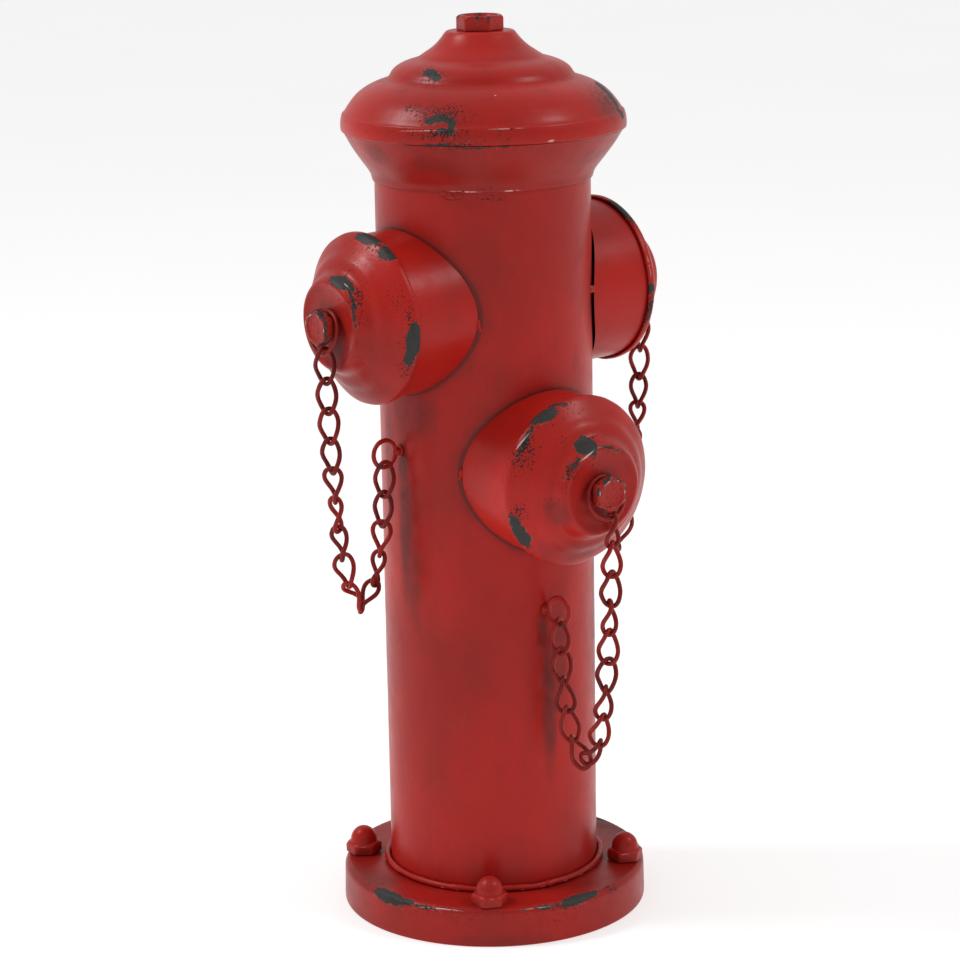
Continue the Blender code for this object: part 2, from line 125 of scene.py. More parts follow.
class Shape:
    """Collects closed skins, in millimetres, into one mesh."""

    def __init__(self):
        self.v, self.f = [], []

    def rows(self, rows, closed=False, m=None, bend=None, loop=True):
        base = len(self.v)
        n = len(rows[0])
        for row in rows:
            for p in row:
                q = bend(p) if bend else p
                self.v.append(m @ q if m else q)
        k = len(rows)
        last = k if closed else k - 1
        for i in range(last):
            a, b = base + i * n, base + ((i + 1) % k) * n
            for j in range(n):
                jj = (j + 1) % n
                self.f.append((a + j, a + jj, b + jj, b + j))
        if not closed:
            for i, flip in ((0, True), (k - 1, False)):
                c = sum((self.v[base + i * n + j] for j in range(n)), Vector()) / n
                ci = len(self.v)
                self.v.append(c)
                for j in range(n):
                    a, b = base + i * n + j, base + i * n + (j + 1) % n
                    self.f.append((b, a, ci) if flip else (a, b, ci))
        return self

    def wire(self, pts, r, m=None, sides=12, grain=0.0):
        """A wire of radius r along a closed loop of points."""
        n = len(pts)
        c = sum(pts, Vector()) / n
        rows = []
        for i in range(n):
            t = (pts[(i + 1) % n] - pts[i - 1]).normalized()
            x = c - pts[i]
            x = (x - t * x.dot(t)).normalized()
            y = t.cross(x)
            rr = r + (wob(pts[i], 2.2, grain, 3.1) if grain else 0.0)
            rows.append([pts[i] + (x * math.cos(2 * math.pi * j / sides)
                                   + y * math.sin(2 * math.pi * j / sides)) * rr
                         for j in range(sides)])
        return self.rows(rows, closed=True, m=m)

    def lump(self, centre, axes, size, seed, n=20):
        """A blob of weld metal: an uneven ellipsoid."""
        rows = []
        for i in range(1, n):
            th = math.pi * i / n
            row = []
            for j in range(2 * n):
                ph = math.pi * j / n
                d = Vector((math.sin(th) * math.cos(ph), math.sin(th) * math.sin(ph), math.cos(th)))
                g = 1.0 + 0.16 * noise.noise(d * 1.6 + Vector((seed, seed, 0))) \
                    + 0.07 * noise.noise(d * 4.0 + Vector((0, seed, seed)))
                row.append(centre + (axes[0] * (d.x * size[0]) + axes[1] * (d.y * size[1])
                                     + axes[2] * (d.z * size[2])) * g)
            rows.append(row)
        return self.rows(rows)

    def piece(self, name, mat, body="hydrant", nodes=(), slot="red_paint", angle=42.0):
        mesh = bpy.data.meshes.new(name)
        mesh.from_pydata([tuple(c * MM for c in p) for p in self.v], [], self.f)
        mesh.update()
        mesh.materials.append(mat)
        mesh.shade_smooth()
        ob = bpy.data.objects.new(name, mesh)
        bpy.context.scene.collection.objects.link(ob)
        import bmesh
        bm = bmesh.new()
        bm.from_mesh(mesh)
        bmesh.ops.recalc_face_normals(bm, faces=bm.faces[:])
        bm.to_mesh(mesh)
        bm.free()
        mesh.set_sharp_from_angle(angle=math.radians(angle))
        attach(ob, body)
        if nodes:
            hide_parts(*nodes)
        return ob


# ---------------------------------------------------------------- materials
class Nodes:
    def __init__(self, tree):
        self.t = tree

    def new(self, kind, **props):
        node = self.t.nodes.new(kind)
        for k, v in props.items():
            setattr(node, k, v)
        return node

    def put(self, sock, value):
        if value is None:
            return
        if isinstance(value, bpy.types.NodeSocket):
            self.t.links.new(value, sock)
        else:
            sock.default_value = value

    def math(self, op, a, b=None, c=None, clamp=False):
        n = self.new("ShaderNodeMath", operation=op, use_clamp=clamp)
        for i, v in enumerate((a, b, c)):
            self.put(n.inputs[i], v)
        return n.outputs[0]

    def step(self, value, lo, hi, a=0.0, b=1.0):
        """Smooth step of value from lo to hi, giving a to b."""
        n = self.new("ShaderNodeMapRange", interpolation_type="SMOOTHSTEP")
        for i, v in enumerate((value, lo, hi, a, b)):
            self.put(n.inputs[i], v)
        return n.outputs[0]

    def noise(self, vec, scale, detail=3.0, rough=0.55, dims="3D", distort=0.0):
        n = self.new("ShaderNodeTexNoise", noise_dimensions=dims)
        self.put(n.inputs["Vector"], vec)
        n.inputs["Scale"].default_value = scale
        n.inputs["Detail"].default_value = detail
        n.inputs["Roughness"].default_value = rough
        n.inputs["Distortion"].default_value = distort
        return n.outputs["Fac"]

    def mix(self, fac, a, b):
        n = self.new("ShaderNodeMix", data_type="RGBA")
        self.put(n.inputs[0], fac)
        self.put(n.inputs[6], a)
        self.put(n.inputs[7], b)
        return n.outputs[2]

    def mixf(self, fac, a, b):
        n = self.new("ShaderNodeMix", data_type="FLOAT")
        self.put(n.inputs[0], fac)
        self.put(n.inputs[2], a)
        self.put(n.inputs[3], b)
        return n.outputs[0]

    def scaled(self, vec, s):
        n = self.new("ShaderNodeVectorMath", operation="MULTIPLY")
        self.put(n.inputs[0], vec)
        n.inputs[1].default_value = s
        return n.outputs[0]


def rgb(r, g, b):
    """sRGB bytes to a linear colour."""
    return tuple(((c / 255) / 12.92 if c <= 10 else (((c / 255) + 0.055) / 1.055) ** 2.4)
                 for c in (r, g, b)) + (1.0,)


RED_A, RED_B = (0.435, 0.0125, 0.0080, 1.0), (0.325, 0.0125, 0.0085, 1.0)
# brown of the glaze, also used as painted shade in creases and joints
GLAZE_AND_SHADE = (0.120, 0.0150, 0.0120, 1.0)
PRIMER = (0.026, 0.026, 0.0245, 1.0)
SOOT = (0.016, 0.012, 0.012, 1.0)
# pale metal colour for bare edges and caulk, also used for painted highlights
PALE_EDGE_AND_HIGHLIGHT = (0.72, 0.62, 0.56, 1.0)


def paint_group():
    """Worn red paint.  Wear is the distance in mm to the nearest rubbed place
    (below 0 is bare primer), Speck is how thickly it is flecked, the third input how far
    the brown glaze and painted shade have gathered, the fourth where bare metal and caulk show at an edge and where
    highlights are painted."""
    g = bpy.data.node_groups.new("worn_red_paint", "ShaderNodeTree")
    for name, kind, default in (("Wear", "NodeSocketFloat", 50.0), ("Speck", "NodeSocketFloat", 0.0),
                                ("DirtAndShade", "NodeSocketFloat", 0.0), ("PaleEdgeAndHighlight", "NodeSocketFloat", 0.0),
                                ("Tone", "NodeSocketFloat", 0.0)):
        s = g.interface.new_socket(name, in_out="INPUT", socket_type=kind)
        s.default_value = default
    g.interface.new_socket("Shader", in_out="OUTPUT", socket_type="NodeSocketShader")
    N = Nodes(g)
    gi, go = N.new("NodeGroupInput"), N.new("NodeGroupOutput")
    tc = N.new("ShaderNodeTexCoord")
    mm = N.scaled(tc.outputs["Object"], (1000.0, 1000.0, 1000.0))
    # ragged edge of a rubbed patch
    rag1 = N.noise(mm, 0.32, 5.0, 0.62)
    rag2 = N.noise(mm, 1.35, 3.0, 0.6)
    d = N.math("ADD", gi.outputs["Wear"], N.math("MULTIPLY", N.math("SUBTRACT", rag1, 0.5), 3.6))
    d = N.math("ADD", d, N.math("MULTIPLY", N.math("SUBTRACT", rag2, 0.5), 1.9))
    core = N.step(d, 0.13, -0.07)
    # flecks: small black pits, dense near a patch
    near = N.step(gi.outputs["Wear"], 5.0, 0.0, 0.0, 0.32)
    speck = N.math("ADD", gi.outputs["Speck"], near)
    fl1 = N.noise(mm, 0.95, 2.0, 0.55)
    fl2 = N.noise(mm, 1.9, 1.0, 0.5)
    fl = N.math("ADD", N.math("MULTIPLY", fl1, 0.62), N.math("MULTIPLY", fl2, 0.38))
    thr = N.math("SUBTRACT", 0.672, N.math("MULTIPLY", speck, 0.118))
    flecks = N.step(N.math("SUBTRACT", fl, thr), 0.0, 0.012)
    flecks = N.math("MULTIPLY", flecks, N.step(speck, 0.02, 0.12))
    dark = N.math("MAXIMUM", core, flecks)
    # paint colour: slow mottling, brown glaze and painted shade gathered in the low places
    slow = N.noise(mm, 0.018, 3.0, 0.5)
    mott = N.noise(mm, 0.11, 5.0, 0.62)
    grain = N.noise(mm, 1.7, 2.0, 0.5)
    red = N.mix(N.step(slow, 0.36, 0.66), RED_A, RED_B)
    stretch = N.scaled(tc.outputs["Object"], (160.0, 160.0, 26.0))
    wipe = N.noise(stretch, 1.0, 4.0, 0.6)
    dirt_and_shade = N.math("ADD", gi.outputs["DirtAndShade"], N.step(N.math("ADD", N.math("MULTIPLY", mott, 0.5),
                                                        N.math("MULTIPLY", wipe, 0.5)), 0.48, 0.76, 0.0, 0.30))
    dirt_and_shade = N.math("MULTIPLY", dirt_and_shade, N.step(mott, 0.22, 0.6, 0.55, 1.1), clamp=True)
    red = N.mix(N.math("MULTIPLY", dirt_and_shade, 0.85, clamp=True), red, GLAZE_AND_SHADE)
    pale = N.step(N.noise(mm, 0.045, 4.0, 0.6), 0.55, 0.8, 0.0, 0.10)
    red = N.mix(pale, red, (0.42, 0.065, 0.050, 1.0))
    tone = N.math("ADD", 1.0, N.math("MULTIPLY", N.math("SUBTRACT", grain, 0.5), 0.22))
    tone = N.math("MULTIPLY", tone, N.math("ADD", 1.0, gi.outputs["Tone"]))
    hsv = N.new("ShaderNodeHueSaturation")
    N.put(hsv.inputs["Value"], tone)
    N.put(hsv.inputs["Color"], red)
    red = hsv.outputs["Color"]
    prim = N.mix(N.noise(mm, 0.5, 4.0, 0.6), PRIMER, (0.042, 0.042, 0.039, 1.0))
    prim = N.mix(flecks, prim, SOOT)
    # thin worn line where paint stops
    rim = N.math("MULTIPLY", N.step(d, 0.42, 0.16), N.step(d, -0.02, 0.12))
    rim = N.math("MULTIPLY", rim, N.step(N.noise(mm, 0.28, 2.0, 0.5), 0.50, 0.60, 0.0, 0.55))
    col = N.mix(dark, red, prim)
    col = N.mix(rim, col, (0.30, 0.12, 0.09, 1.0))
    # pale marks: bare metal and caulk at edges, and painted highlights along ridges and edges
    pale_edge_and_highlight = N.math("MULTIPLY", gi.outputs["PaleEdgeAndHighlight"], N.step(N.noise(mm, 0.42, 3.0, 0.6), 0.40, 0.52))
    col = N.mix(pale_edge_and_highlight, col, PALE_EDGE_AND_HIGHLIGHT)
    bs = N.new("ShaderNodeBsdfPrincipled")
    N.put(bs.inputs["Base Color"], col)
    rough = N.mixf(dark, N.math("ADD", 0.245, N.math("MULTIPLY", mott, 0.17)), 0.50)
    rough = N.math("ADD", rough, N.math("MULTIPLY", dirt_and_shade, 0.10))
    N.put(bs.inputs["Roughness"], N.mixf(pale_edge_and_highlight, rough, 0.30))
    N.put(bs.inputs["Metallic"], N.math("MULTIPLY", pale_edge_and_highlight, 0.8))
    bs.inputs["Specular IOR Level"].default_value = 0.20
    # paint thickness and orange peel
    peel = N.noise(mm, 0.85, 2.0, 0.5)
    h = N.math("ADD", N.math("MULTIPLY", dark, -0.16), N.math("MULTIPLY", peel, 0.030))
    h = N.math("ADD", h, N.math("MULTIPLY", N.noise(mm, 0.16, 2.0, 0.5), 0.16))
    bump = N.new("ShaderNodeBump")
    bump.inputs["Strength"].default_value = 0.75
    bump.inputs["Distance"].default_value = 0.001
    N.put(bump.inputs["Height"], h)
    N.put(bs.inputs["Normal"], bump.outputs["Normal"])
    N.put(go.inputs["Shader"], bs.outputs["BSDF"])
    return g


PAINT = paint_group()


def red_paint(name, wear=(), speck=(), dirt_and_shade=(), pale_edge_and_highlight=(), tone=0.0, base_speck=0.0, base_dirt=0.0, joints=()):
    """Each mark is (x, y, z) in mm, (nx, ny, nz) its normal, (along, up, deep)
    its half sizes in mm, roll in degrees, and for specks and for glaze with painted shade a strength."""
    mat = bpy.data.materials.new(name)
    mat.use_nodes = True
    t = mat.node_tree
    t.nodes.clear()
    N = Nodes(t)
    out = N.new("ShaderNodeOutputMaterial")
    grp = N.new("ShaderNodeGroup")
    grp.node_tree = PAINT
    tc = N.new("ShaderNodeTexCoord")

    def length(mark):
        p, n, size, roll = mark[:4]
        x = Vector(n).normalized()
        y = Vector((0, 0, 1)).cross(x)
        y = y.normalized() if y.length > 1e-4 else Vector((0, 1, 0))
        z = x.cross(y)
        rot = Matrix((x, y, z)).transposed() @ Matrix.Rotation(math.radians(roll), 3, "X")
        m = N.new("ShaderNodeMapping", vector_type="TEXTURE")
        N.put(m.inputs["Vector"], tc.outputs["Object"])
        m.inputs["Location"].default_value = Vector(p) * MM
        m.inputs["Rotation"].default_value = rot.to_euler("XYZ")
        m.inputs["Scale"].default_value = (size[2] * MM, size[0] * MM, size[1] * MM)
        ln = N.new("ShaderNodeVectorMath", operation="LENGTH")
        N.put(ln.inputs[0], m.outputs["Vector"])
        return ln.outputs["Value"]

    dist = None
    for mark in wear:
        half = min(mark[2][0], mark[2][1])
        v = N.math("MULTIPLY", N.math("SUBTRACT", length(mark), 1.0), half)
        dist = v if dist is None else N.math("MINIMUM", dist, v)
    if dist is not None:
        N.put(grp.inputs["Wear"], dist)
    for marks, socket, floor in ((speck, "Speck", base_speck), (dirt_and_shade, "DirtAndShade", base_dirt),
                                 (pale_edge_and_highlight, "PaleEdgeAndHighlight", 0.0)):
        total = floor
        for mark in marks:
            v = N.step(length(mark), 1.0, 0.25, 0.0, mark[4] if len(mark) > 4 else 1.0)
            total = N.math("MAXIMUM", total, v)
        if socket == "DirtAndShade":
            # darker band round each outlet's joint with the barrel: dirt and painted shade in the joint
            for origin, axis, radius in joints:
                rel = N.new("ShaderNodeVectorMath", operation="SUBTRACT")
                N.put(rel.inputs[0], tc.outputs["Object"])
                rel.inputs[1].default_value = Vector(origin) * MM
                cr = N.new("ShaderNodeVectorMath", operation="CROSS_PRODUCT")
                N.put(cr.inputs[0], rel.outputs["Vector"])
                cr.inputs[1].default_value = Vector(axis)
                ln = N.new("ShaderNodeVectorMath", operation="LENGTH")
                N.put(ln.inputs[0], cr.outputs["Vector"])
                off = N.math("ABSOLUTE", N.math("SUBTRACT", N.math("MULTIPLY", ln.outputs["Value"], 1000.0), radius))
                dot = N.new("ShaderNodeVectorMath", operation="DOT_PRODUCT")
                N.put(dot.inputs[0], rel.outputs["Vector"])
                dot.inputs[1].default_value = Vector(axis)
                ahead = N.math("GREATER_THAN", dot.outputs["Value"], 0.0)
                close = N.math("MAXIMUM", N.step(off, 1.0, 0.5, 0.0, 2.2), N.step(off, 4.5, 0.0, 0.0, 0.45))
                total = N.math("MAXIMUM", total, N.math("MULTIPLY", close, ahead))
        if marks or (socket == "DirtAndShade" and joints):
            N.put(grp.inputs[socket], total)
        else:
            grp.inputs[socket].default_value = floor
    grp.inputs["Tone"].default_value = tone
    N.put(out.inputs["Surface"], grp.outputs["Shader"])
    return mat


def steel():
    """Zinc-plated steel, dulled."""
    mat = bpy.data.materials.new("dull_zinc_steel")
    mat.use_nodes = True
    t = mat.node_tree
    t.nodes.clear()
    N = Nodes(t)
    out, bs, tc = N.new("ShaderNodeOutputMaterial"), N.new("ShaderNodeBsdfPrincipled"), N.new("ShaderNodeTexCoord")
    mm = N.scaled(tc.outputs["Object"], (1000.0, 1000.0, 1000.0))
    f = N.noise(mm, 0.5, 4.0, 0.6)
    N.put(bs.inputs["Base Color"], N.mix(f, (0.40, 0.39, 0.37, 1), (0.62, 0.61, 0.58, 1)))
    bs.inputs["Metallic"].default_value = 1.0
    N.put(bs.inputs["Roughness"], N.step(f, 0.3, 0.7, 0.38, 0.55))
    b = N.new("ShaderNodeBump")
    b.inputs["Strength"].default_value = 0.4
    b.inputs["Distance"].default_value = 0.0002
    N.put(b.inputs["Height"], N.noise(mm, 2.5, 3.0, 0.5))
    N.put(bs.inputs["Normal"], b.outputs["Normal"])
    N.put(out.inputs["Surface"], bs.outputs["BSDF"])
    return mat


def polar(az, r, z):
    a = math.radians(az)
    return (r * math.cos(a), r * math.sin(a), z)


def on_cap(side_name, phi, r, d, tilt=0.0):
    """(point, normal) on a cap: phi counts from the outlet's side axis towards
    up, tilt turns the normal from the outlet's axis towards the rim."""
    base, side, up, out = FRAMES[side_name]
    a = math.radians(phi)
    rad = side * math.cos(a) + up * math.sin(a)
    t = math.radians(tilt)
    return tuple(base + out * d + rad * r), tuple(out * math.cos(t) + rad * math.sin(t))


FRAMES = {o[0]: outlet_frame(*o[1:4]) for o in OUTLETS}
STEEL = steel()

# ------------------------------------------------------------------- base
BASE_MARKS = dict(
    wear=[((-59.3, -9.4, 15.1), (-0.52, -0.09, 0.85), (8.6, 2.7, 6.0), -5),
          ((-57.6, -18.2, 14.6), (-0.75, -0.35, 0.55), (5.0, 1.5, 5.0), -4),
          ((-55.1, -25.2, 14.3), (-0.75, -0.35, 0.55), (7.0, 0.6, 4.0), 0),
          ((-2.3, -59.5, 15.3), (-0.02, -0.43, 0.90), (9.5, 2.3, 6.0), 5),
          ((-7.5, -59.3, 14.6), (-0.1, -0.8, 0.55), (4.0, 1.6, 5.0), 3),
          ((-17.2, -58.0, 14.6), (-0.24, -0.80, 0.55), (6.5, 0.55, 4.0), -2),
          ((58.9, 1.2, 15.5), (0.08, 0.00, 1.00), (4.0, 1.4, 5.0), 22),
          ((-28.0, 53.5, 15.2), (-0.3, 0.6, 0.75), (7.0, 1.6, 5.0), 8),
          ((38.0, 46.5, 15.2), (0.5, 0.6, 0.7), (6.0, 1.3, 5.0), 0)],
    # the first mark darkens the pan top round the barrel's foot: painted shade in the corner, with glaze
    dirt_and_shade=[((0, 0, 15.6), (0, 0, 1), (47, 47, 4), 0, 0.55),
          (polar(-20, 61, 4), polar(-20, 1, 0), (40, 5, 6), 0, 0.5),
          (polar(-125, 61, 2), polar(-125, 1, 0), (50, 5, 7), 0, 0.45),
          (polar(-10, 56, 15), (0, 0, 1), (26, 16, 4), 0, 0.9),
          (polar(170, 56, 15), (0, 0, 1), (24, 14, 4), 0, 0.6)],
    speck=[((13.8, -59.0, 14.6), (0.20, -0.81, 0.55), (7.5, 3.0, 4.0), -13, 0.95),
           ((-59.4, -13.7, 13.9), (-0.89, -0.22, 0.40), (9.0, 3.0, 4.0), 8, 0.80),
           ((-48.0, -36.0, 14.4), (-0.6, -0.4, 0.66), (16.0, 1.4, 3.0), 2, 0.75)],
    # the pale lines on the pan's top edge are painted highlights
    pale_edge_and_highlight=[((-51.0, -32.5, 14.5), (-0.64, -0.40, 0.66), (13.2, 0.35, 2.0), 2, 0.70),
           ((-21.0, -56.4, 14.6), (-0.3, -0.8, 0.5), (8.0, 0.3, 2.0), 0, 0.55)],
    base_dirt=0.16)
pan_mat = red_paint("paint_base", tone=-0.09, **BASE_MARKS)
h = PAN_H
prof = [Vector((60.2, 0.0)), Vector((60.3, 0.0))] \
    + curve([(61.15, 0.0), (61.32, 0.7), (61.3, 4.0), (61.2, 9.0), (61.15, h - 3.2),
             (61.0, h - 1.9), (60.3, h - 0.75), (59.2, h - 0.12), (58.0, h)], 4) \
    + [Vector((56.0, h)), Vector((52.0, h)), Vector((48.0, h)), Vector((44.0, h)), Vector((40.0, h - 0.1)),
       Vector((20.0, h - 0.1)), Vector((1.0, h - 0.1)),
       Vector((1.0, h - 1.4)), Vector((58.0, h - 1.4)), Vector((59.9, h - 3.0)), Vector((60.2, 4.0))]


def pan_bend(p):
    k = min(1.0, math.hypot(p.x, p.y) / 60.0)
    w = wob(p, 34.0, 0.14, 1.3) * k
    return Vector((p.x * (1 + w / 60), p.y * (1 + w / 60), p.z + (wob(p, 26.0, 0.35, 4.0) * k if p.z > 9 else 0)))


Shape().rows([circle(p.x, p.y, 200) for p in prof], closed=True, bend=pan_bend) \
    .piece("base_pan", pan_mat, nodes=["base_flange"], angle=50)

zb = sum(c.z for c in map(Vector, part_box("foot_bead"))) / 2 / MM
CAULK = [(-154.5, 1.0), (-146.0, 0.7), (-112.0, 0.8), (-101.0, 1.7), (-97.0, 1.0), (-86.5, 1.3), (-80.0, 0.6),
         (-75.5, 1.2), (-66.0, 0.9), (-59.5, 0.8)]
# the band at z 15.9 darkens the bead where it meets the pan: painted shade in the joint
bead_mat = red_paint("paint_foot_bead", dirt_and_shade=[((0, 0, zb), (0, 0, 1), (60, 60, 8), 0, 0.35),
                                              ((0, 0, 15.9), (0, 0, 1), (60, 60, 1.0), 0, 1.0)],
                     pale_edge_and_highlight=[(polar(a, 44.6, 16.5), polar(a, 1, 0), (w, 0.32, 1.2), 0, 1.2) for a, w in CAULK])
pts = []
for i in range(220):
    a = 2 * math.pi * i / 220
    q = Vector((43.5 * math.cos(a), 43.5 * math.sin(a), zb))
    g = wob(q, 9.0, 0.22, 2.0)
    pts.append(Vector(((43.5 + g) * math.cos(a), (43.5 + g) * math.sin(a), zb - 0.1 + wob(q, 7.0, 0.25, 5.0))))
foot = Shape().wire(pts, 1.22, sides=14, grain=0.25)
for i, az in enumerate((-97.0, 110.0)):
    c = Vector(polar(az, 43.8, zb + 0.1))
    n = Vector(polar(az, 1, 0))
    foot.lump(c, (Vector((-n.y, n.x, 0)), n, Vector((0, 0, 1))), (2.4, 1.3, 1.25), 7.0 + i, 10)
foot.piece("foot_weld_bead", bead_mat, nodes=["foot_bead"], angle=60)

# low cap nuts on the base
for name, ang, turn in NUT_ANGLES:
    a = math.radians(ang)
    z0 = PAN_H + 0.05
    m = Matrix.Translation((NUT_PCR * math.cos(a), NUT_PCR * math.sin(a), 0)) \
        @ Matrix.Rotation(a + math.radians(turn), 4, "Z")
    rows = [circle(4.0, z0 + 0.2, 72), hexagon(12.3, z0, 72, 6.6), hexagon(12.8, z0 + 0.35, 72, 7.15),
            hexagon(12.8, z0 + 3.1, 72, 7.3), hexagon(12.75, z0 + 3.7, 72, 6.95),
            hexagon(12.4, z0 + 4.2, 72, 6.4), circle(5.85, z0 + 4.5, 72), circle(5.45, z0 + 4.65, 72)]
    for k in range(1, 12):
        f = math.radians(4 + k * 7.6)
        rows.append(circle(5.35 * math.cos(f), z0 + 4.9 + 5.95 * math.sin(f), 72))
    c = (NUT_PCR * math.cos(a), NUT_PCR * math.sin(a))
    look = Vector((-0.595, -0.804, 0.0))
    # the mark at each nut's foot is painted shade where the nut meets the pan
    mat = red_paint("paint_nut_" + name, tone=0.02,
                    dirt_and_shade=[((c[0], c[1], z0 + 0.3), (0, 0, 1), (11, 11, 4.4), 0, 0.85)],
                    speck=[((c[0] - 3, c[1] - 4, z0 + 8.0), (0, 0, 1), (5, 4, 4), 0, 0.30)],
                    pale_edge_and_highlight=[((c[0] - 4.2, c[1] - 5.7, z0 + 3.75), tuple(look), (3.4, 0.24, 1.6), 3, 0.45)])
    Shape().rows(rows, m=m, bend=lambda p: p + Vector((0, 0, wob(p, 4.0, 0.12, 1.0)))) \
        .piece("cap_nut_" + name + "_base", mat, nodes=["acorn_nut_" + name], angle=34)

# ---------------------------------------------------------------- barrel
# the streaks below the wall rings are brown glaze and painted shadow; the bands at z 293 and z 15 are painted shade
# where the barrel meets the skirt and the pan
BARREL_MARKS = dict(
    dirt_and_shade=[(polar(-177, 42, 160), polar(-177, 1, 0), (6.0, 44, 8), 0, 0.90),
          (polar(-178, 42, 186), polar(-178, 1, 0), (5.0, 16, 8), 0, 1.0),
          (polar(-171, 42, 140), polar(-171, 1, 0), (6.0, 26, 8), 0, 0.60),
          (polar(-93.5, 42, 92), polar(-93.5, 1, 0), (5.4, 44, 8), 0, 0.85),
          (polar(-97.5, 42, 120), polar(-97.5, 1, 0), (4.0, 14, 8), 0, 0.9),
          (polar(-86.0, 42, 112), polar(-86.0, 1, 0), (6.0, 34, 8), 0, 0.6),
          (polar(168, 42, 185), polar(168, 1, 0), (7, 34, 8), 0, 0.75),
          (polar(-170, 42, 208), polar(-170, 1, 0), (20, 15, 8), 0, 0.65),
          (polar(-45, 42, 120), polar(-45, 1, 0), (8, 80, 8), 0, 0.45),
          ((0, 0, 293), (0, 0, 1), (46, 46, 9), 0, 0.50),
          ((0, 0, 15), (0, 0, 1), (46, 46, 12), 0, 0.45)],
    wear=[(polar(-130, 42.3, 243), polar(-130, 1, 0), (0.3, 0.5, 3), 0)],
    speck=[(polar(-121, 42, 292.5), polar(-121, 1, 0), (9, 2.4, 5), 0, 0.75),
           (polar(-93.5, 42, 96), polar(-93.5, 1, 0), (3, 16, 5), 0, 0.55),
           (polar(-178, 42, 182), polar(-178, 1, 0), (3, 14, 5), 0, 0.55)],
    base_dirt=0.05, base_speck=0.05)
barrel_mat = red_paint("paint_barrel", joints=[(FRAMES[k][0], FRAMES[k][3], 32.0) for k in FRAMES], **BARREL_MARKS)
zs = [15.75 + (297.0 - 15.75) * i / 110 for i in range(111)]
outer = [circle(BARREL_R, z, 256) for z in zs]
inner = [circle(BARREL_R - 1.2, z, 256) for z in (297.0, 15.75)]


def barrel_bend(p):
    w = wob(p, 30.0, 0.10, 0.7) + wob(p, 11.0, 0.035, 5.0)
    return Vector((p.x * (1 + w / 42), p.y * (1 + w / 42), p.z))


Shape().rows(outer + inner, closed=True, bend=barrel_bend) \
    .piece("barrel_shell", barrel_mat, nodes=["barrel_tube"], angle=60)


def weld(name, az, z, lumps, r=42.0, tone=0.0, nodes=()):
    """Tack weld on the barrel: lumps are (along, up, half sizes)."""
    n = Vector(polar(az, 1, 0))
    t = Vector((-n.y, n.x, 0))
    s = Shape()
    for i, (u, v, a, b, c) in enumerate(lumps):
        s.lump(n * r + t * u + Vector((0, 0, z + v)), (t, Vector((0, 0, 1)), n), (a, b, c), az + 3.3 * i, 12)
    mat = red_paint("paint_" + name, tone=tone, base_dirt=0.25, base_speck=0.10)
    return s.piece(name, mat, angle=70)


weld("weld_skirt", -142.3, 294.0, [(-3.0, 0.2, 2.0, 1.7, 1.25), (-0.4, -0.7, 2.3, 1.9, 1.5),
                                   (2.3, -0.3, 1.9, 1.9, 1.35), (4.1, 1.0, 1.2, 1.0, 0.9),
                                   (-1.6, 1.3, 1.6, 1.0, 1.0)])
weld("weld_outlet_left", -130.0, 244.0, [(0.0, 0.4, 0.9, 2.2, 0.8), (0.7, -1.4, 0.8, 1.3, 0.7)], 42.1, 0.05)
weld("weld_outlet_front", -140.6, 186.0, [(0.2, 0.6, 0.9, 2.0, 0.8), (-0.3, -1.3, 0.8, 1.3, 0.7)], 42.1, 0.05)

# -------------------------------------------------------- skirt and bonnet
Z_LOW, Z_TOP = 294.9, 313.5


def skirt_bend(p):
    k = (p.z - Z_LOW) / (Z_TOP - Z_LOW)
    w = wob(p, 26.0, 0.16, 2.2)
    r = math.hypot(p.x, p.y)
    return Vector((p.x * (1 + w / r) + BONNET_LEAN[0] * k, p.y * (1 + w / r) + BONNET_LEAN[1] * k,
                   p.z + (wob(p, 14.0, 0.25, 6.0) if p.z < 296 else 0)))


sk = curve([(42.75, 294.7), (43.0, 295.4), (43.6, 297.4), (45.0, 299.6), (46.6, 301.7), (48.3, 304.0),
            (50.0, 306.4), (51.5, 308.7), (52.8, 310.9), (53.8, 312.6), (54.35, 313.4)], 5)
sk_in = curve([(53.5, 313.9), (51.9, 311.3), (49.1, 306.9), (45.8, 302.4), (43.6, 299.4), (42.4, 297.3),
               (42.1, 295.0)], 3)
# the bands at the skirt's foot and under the dome's lip, and the thin dark line under the lip, are painted shade in
# the joints with glaze; the side blotches are glaze
skirt_mat = red_paint(
    "paint_skirt", tone=-0.03, base_dirt=0.24,
    dirt_and_shade=[((0, 0, 296.0), (0, 0, 1), (46, 46, 5), 0, 0.6), ((0, 0, 313.6), (0, 0, 1), (60, 60, 2.0), 0, 1.7),
          (polar(-178, 51, 308), polar(-178, 1, -0.6), (12, 9, 9), 0, 0.7), (polar(-150, 50, 305), polar(-150, 1, -0.6), (18, 8, 8), 0, 0.5),
          (polar(-70, 50, 305), polar(-70, 1, -0.6), (30, 8, 8), 0, 0.45)],
    pale_edge_and_highlight=[(polar(-136.0, 43.2, 295.0), polar(-136, 1, 0), (9.0, 0.5, 2.5), 0, 0.45),
           (polar(-112.0, 43.2, 295.0), polar(-112, 1, 0), (5.0, 0.45, 2.5), 0, 0.5)],
    speck=[(polar(-124, 43.2, 295.4), polar(-124, 1, 0), (8, 2.0, 4), 0, 0.6)],
    wear=[(polar(-130, 54.0, 312.9), polar(-130, 1, -0.4), (9.0, 0.35, 3), 0)])
Shape().rows([circle(p.x, p.y, 256) for p in sk + sk_in], closed=True, bend=skirt_bend) \
    .piece("bonnet_flare", skirt_mat, nodes=["bonnet_skirt"], angle=50)


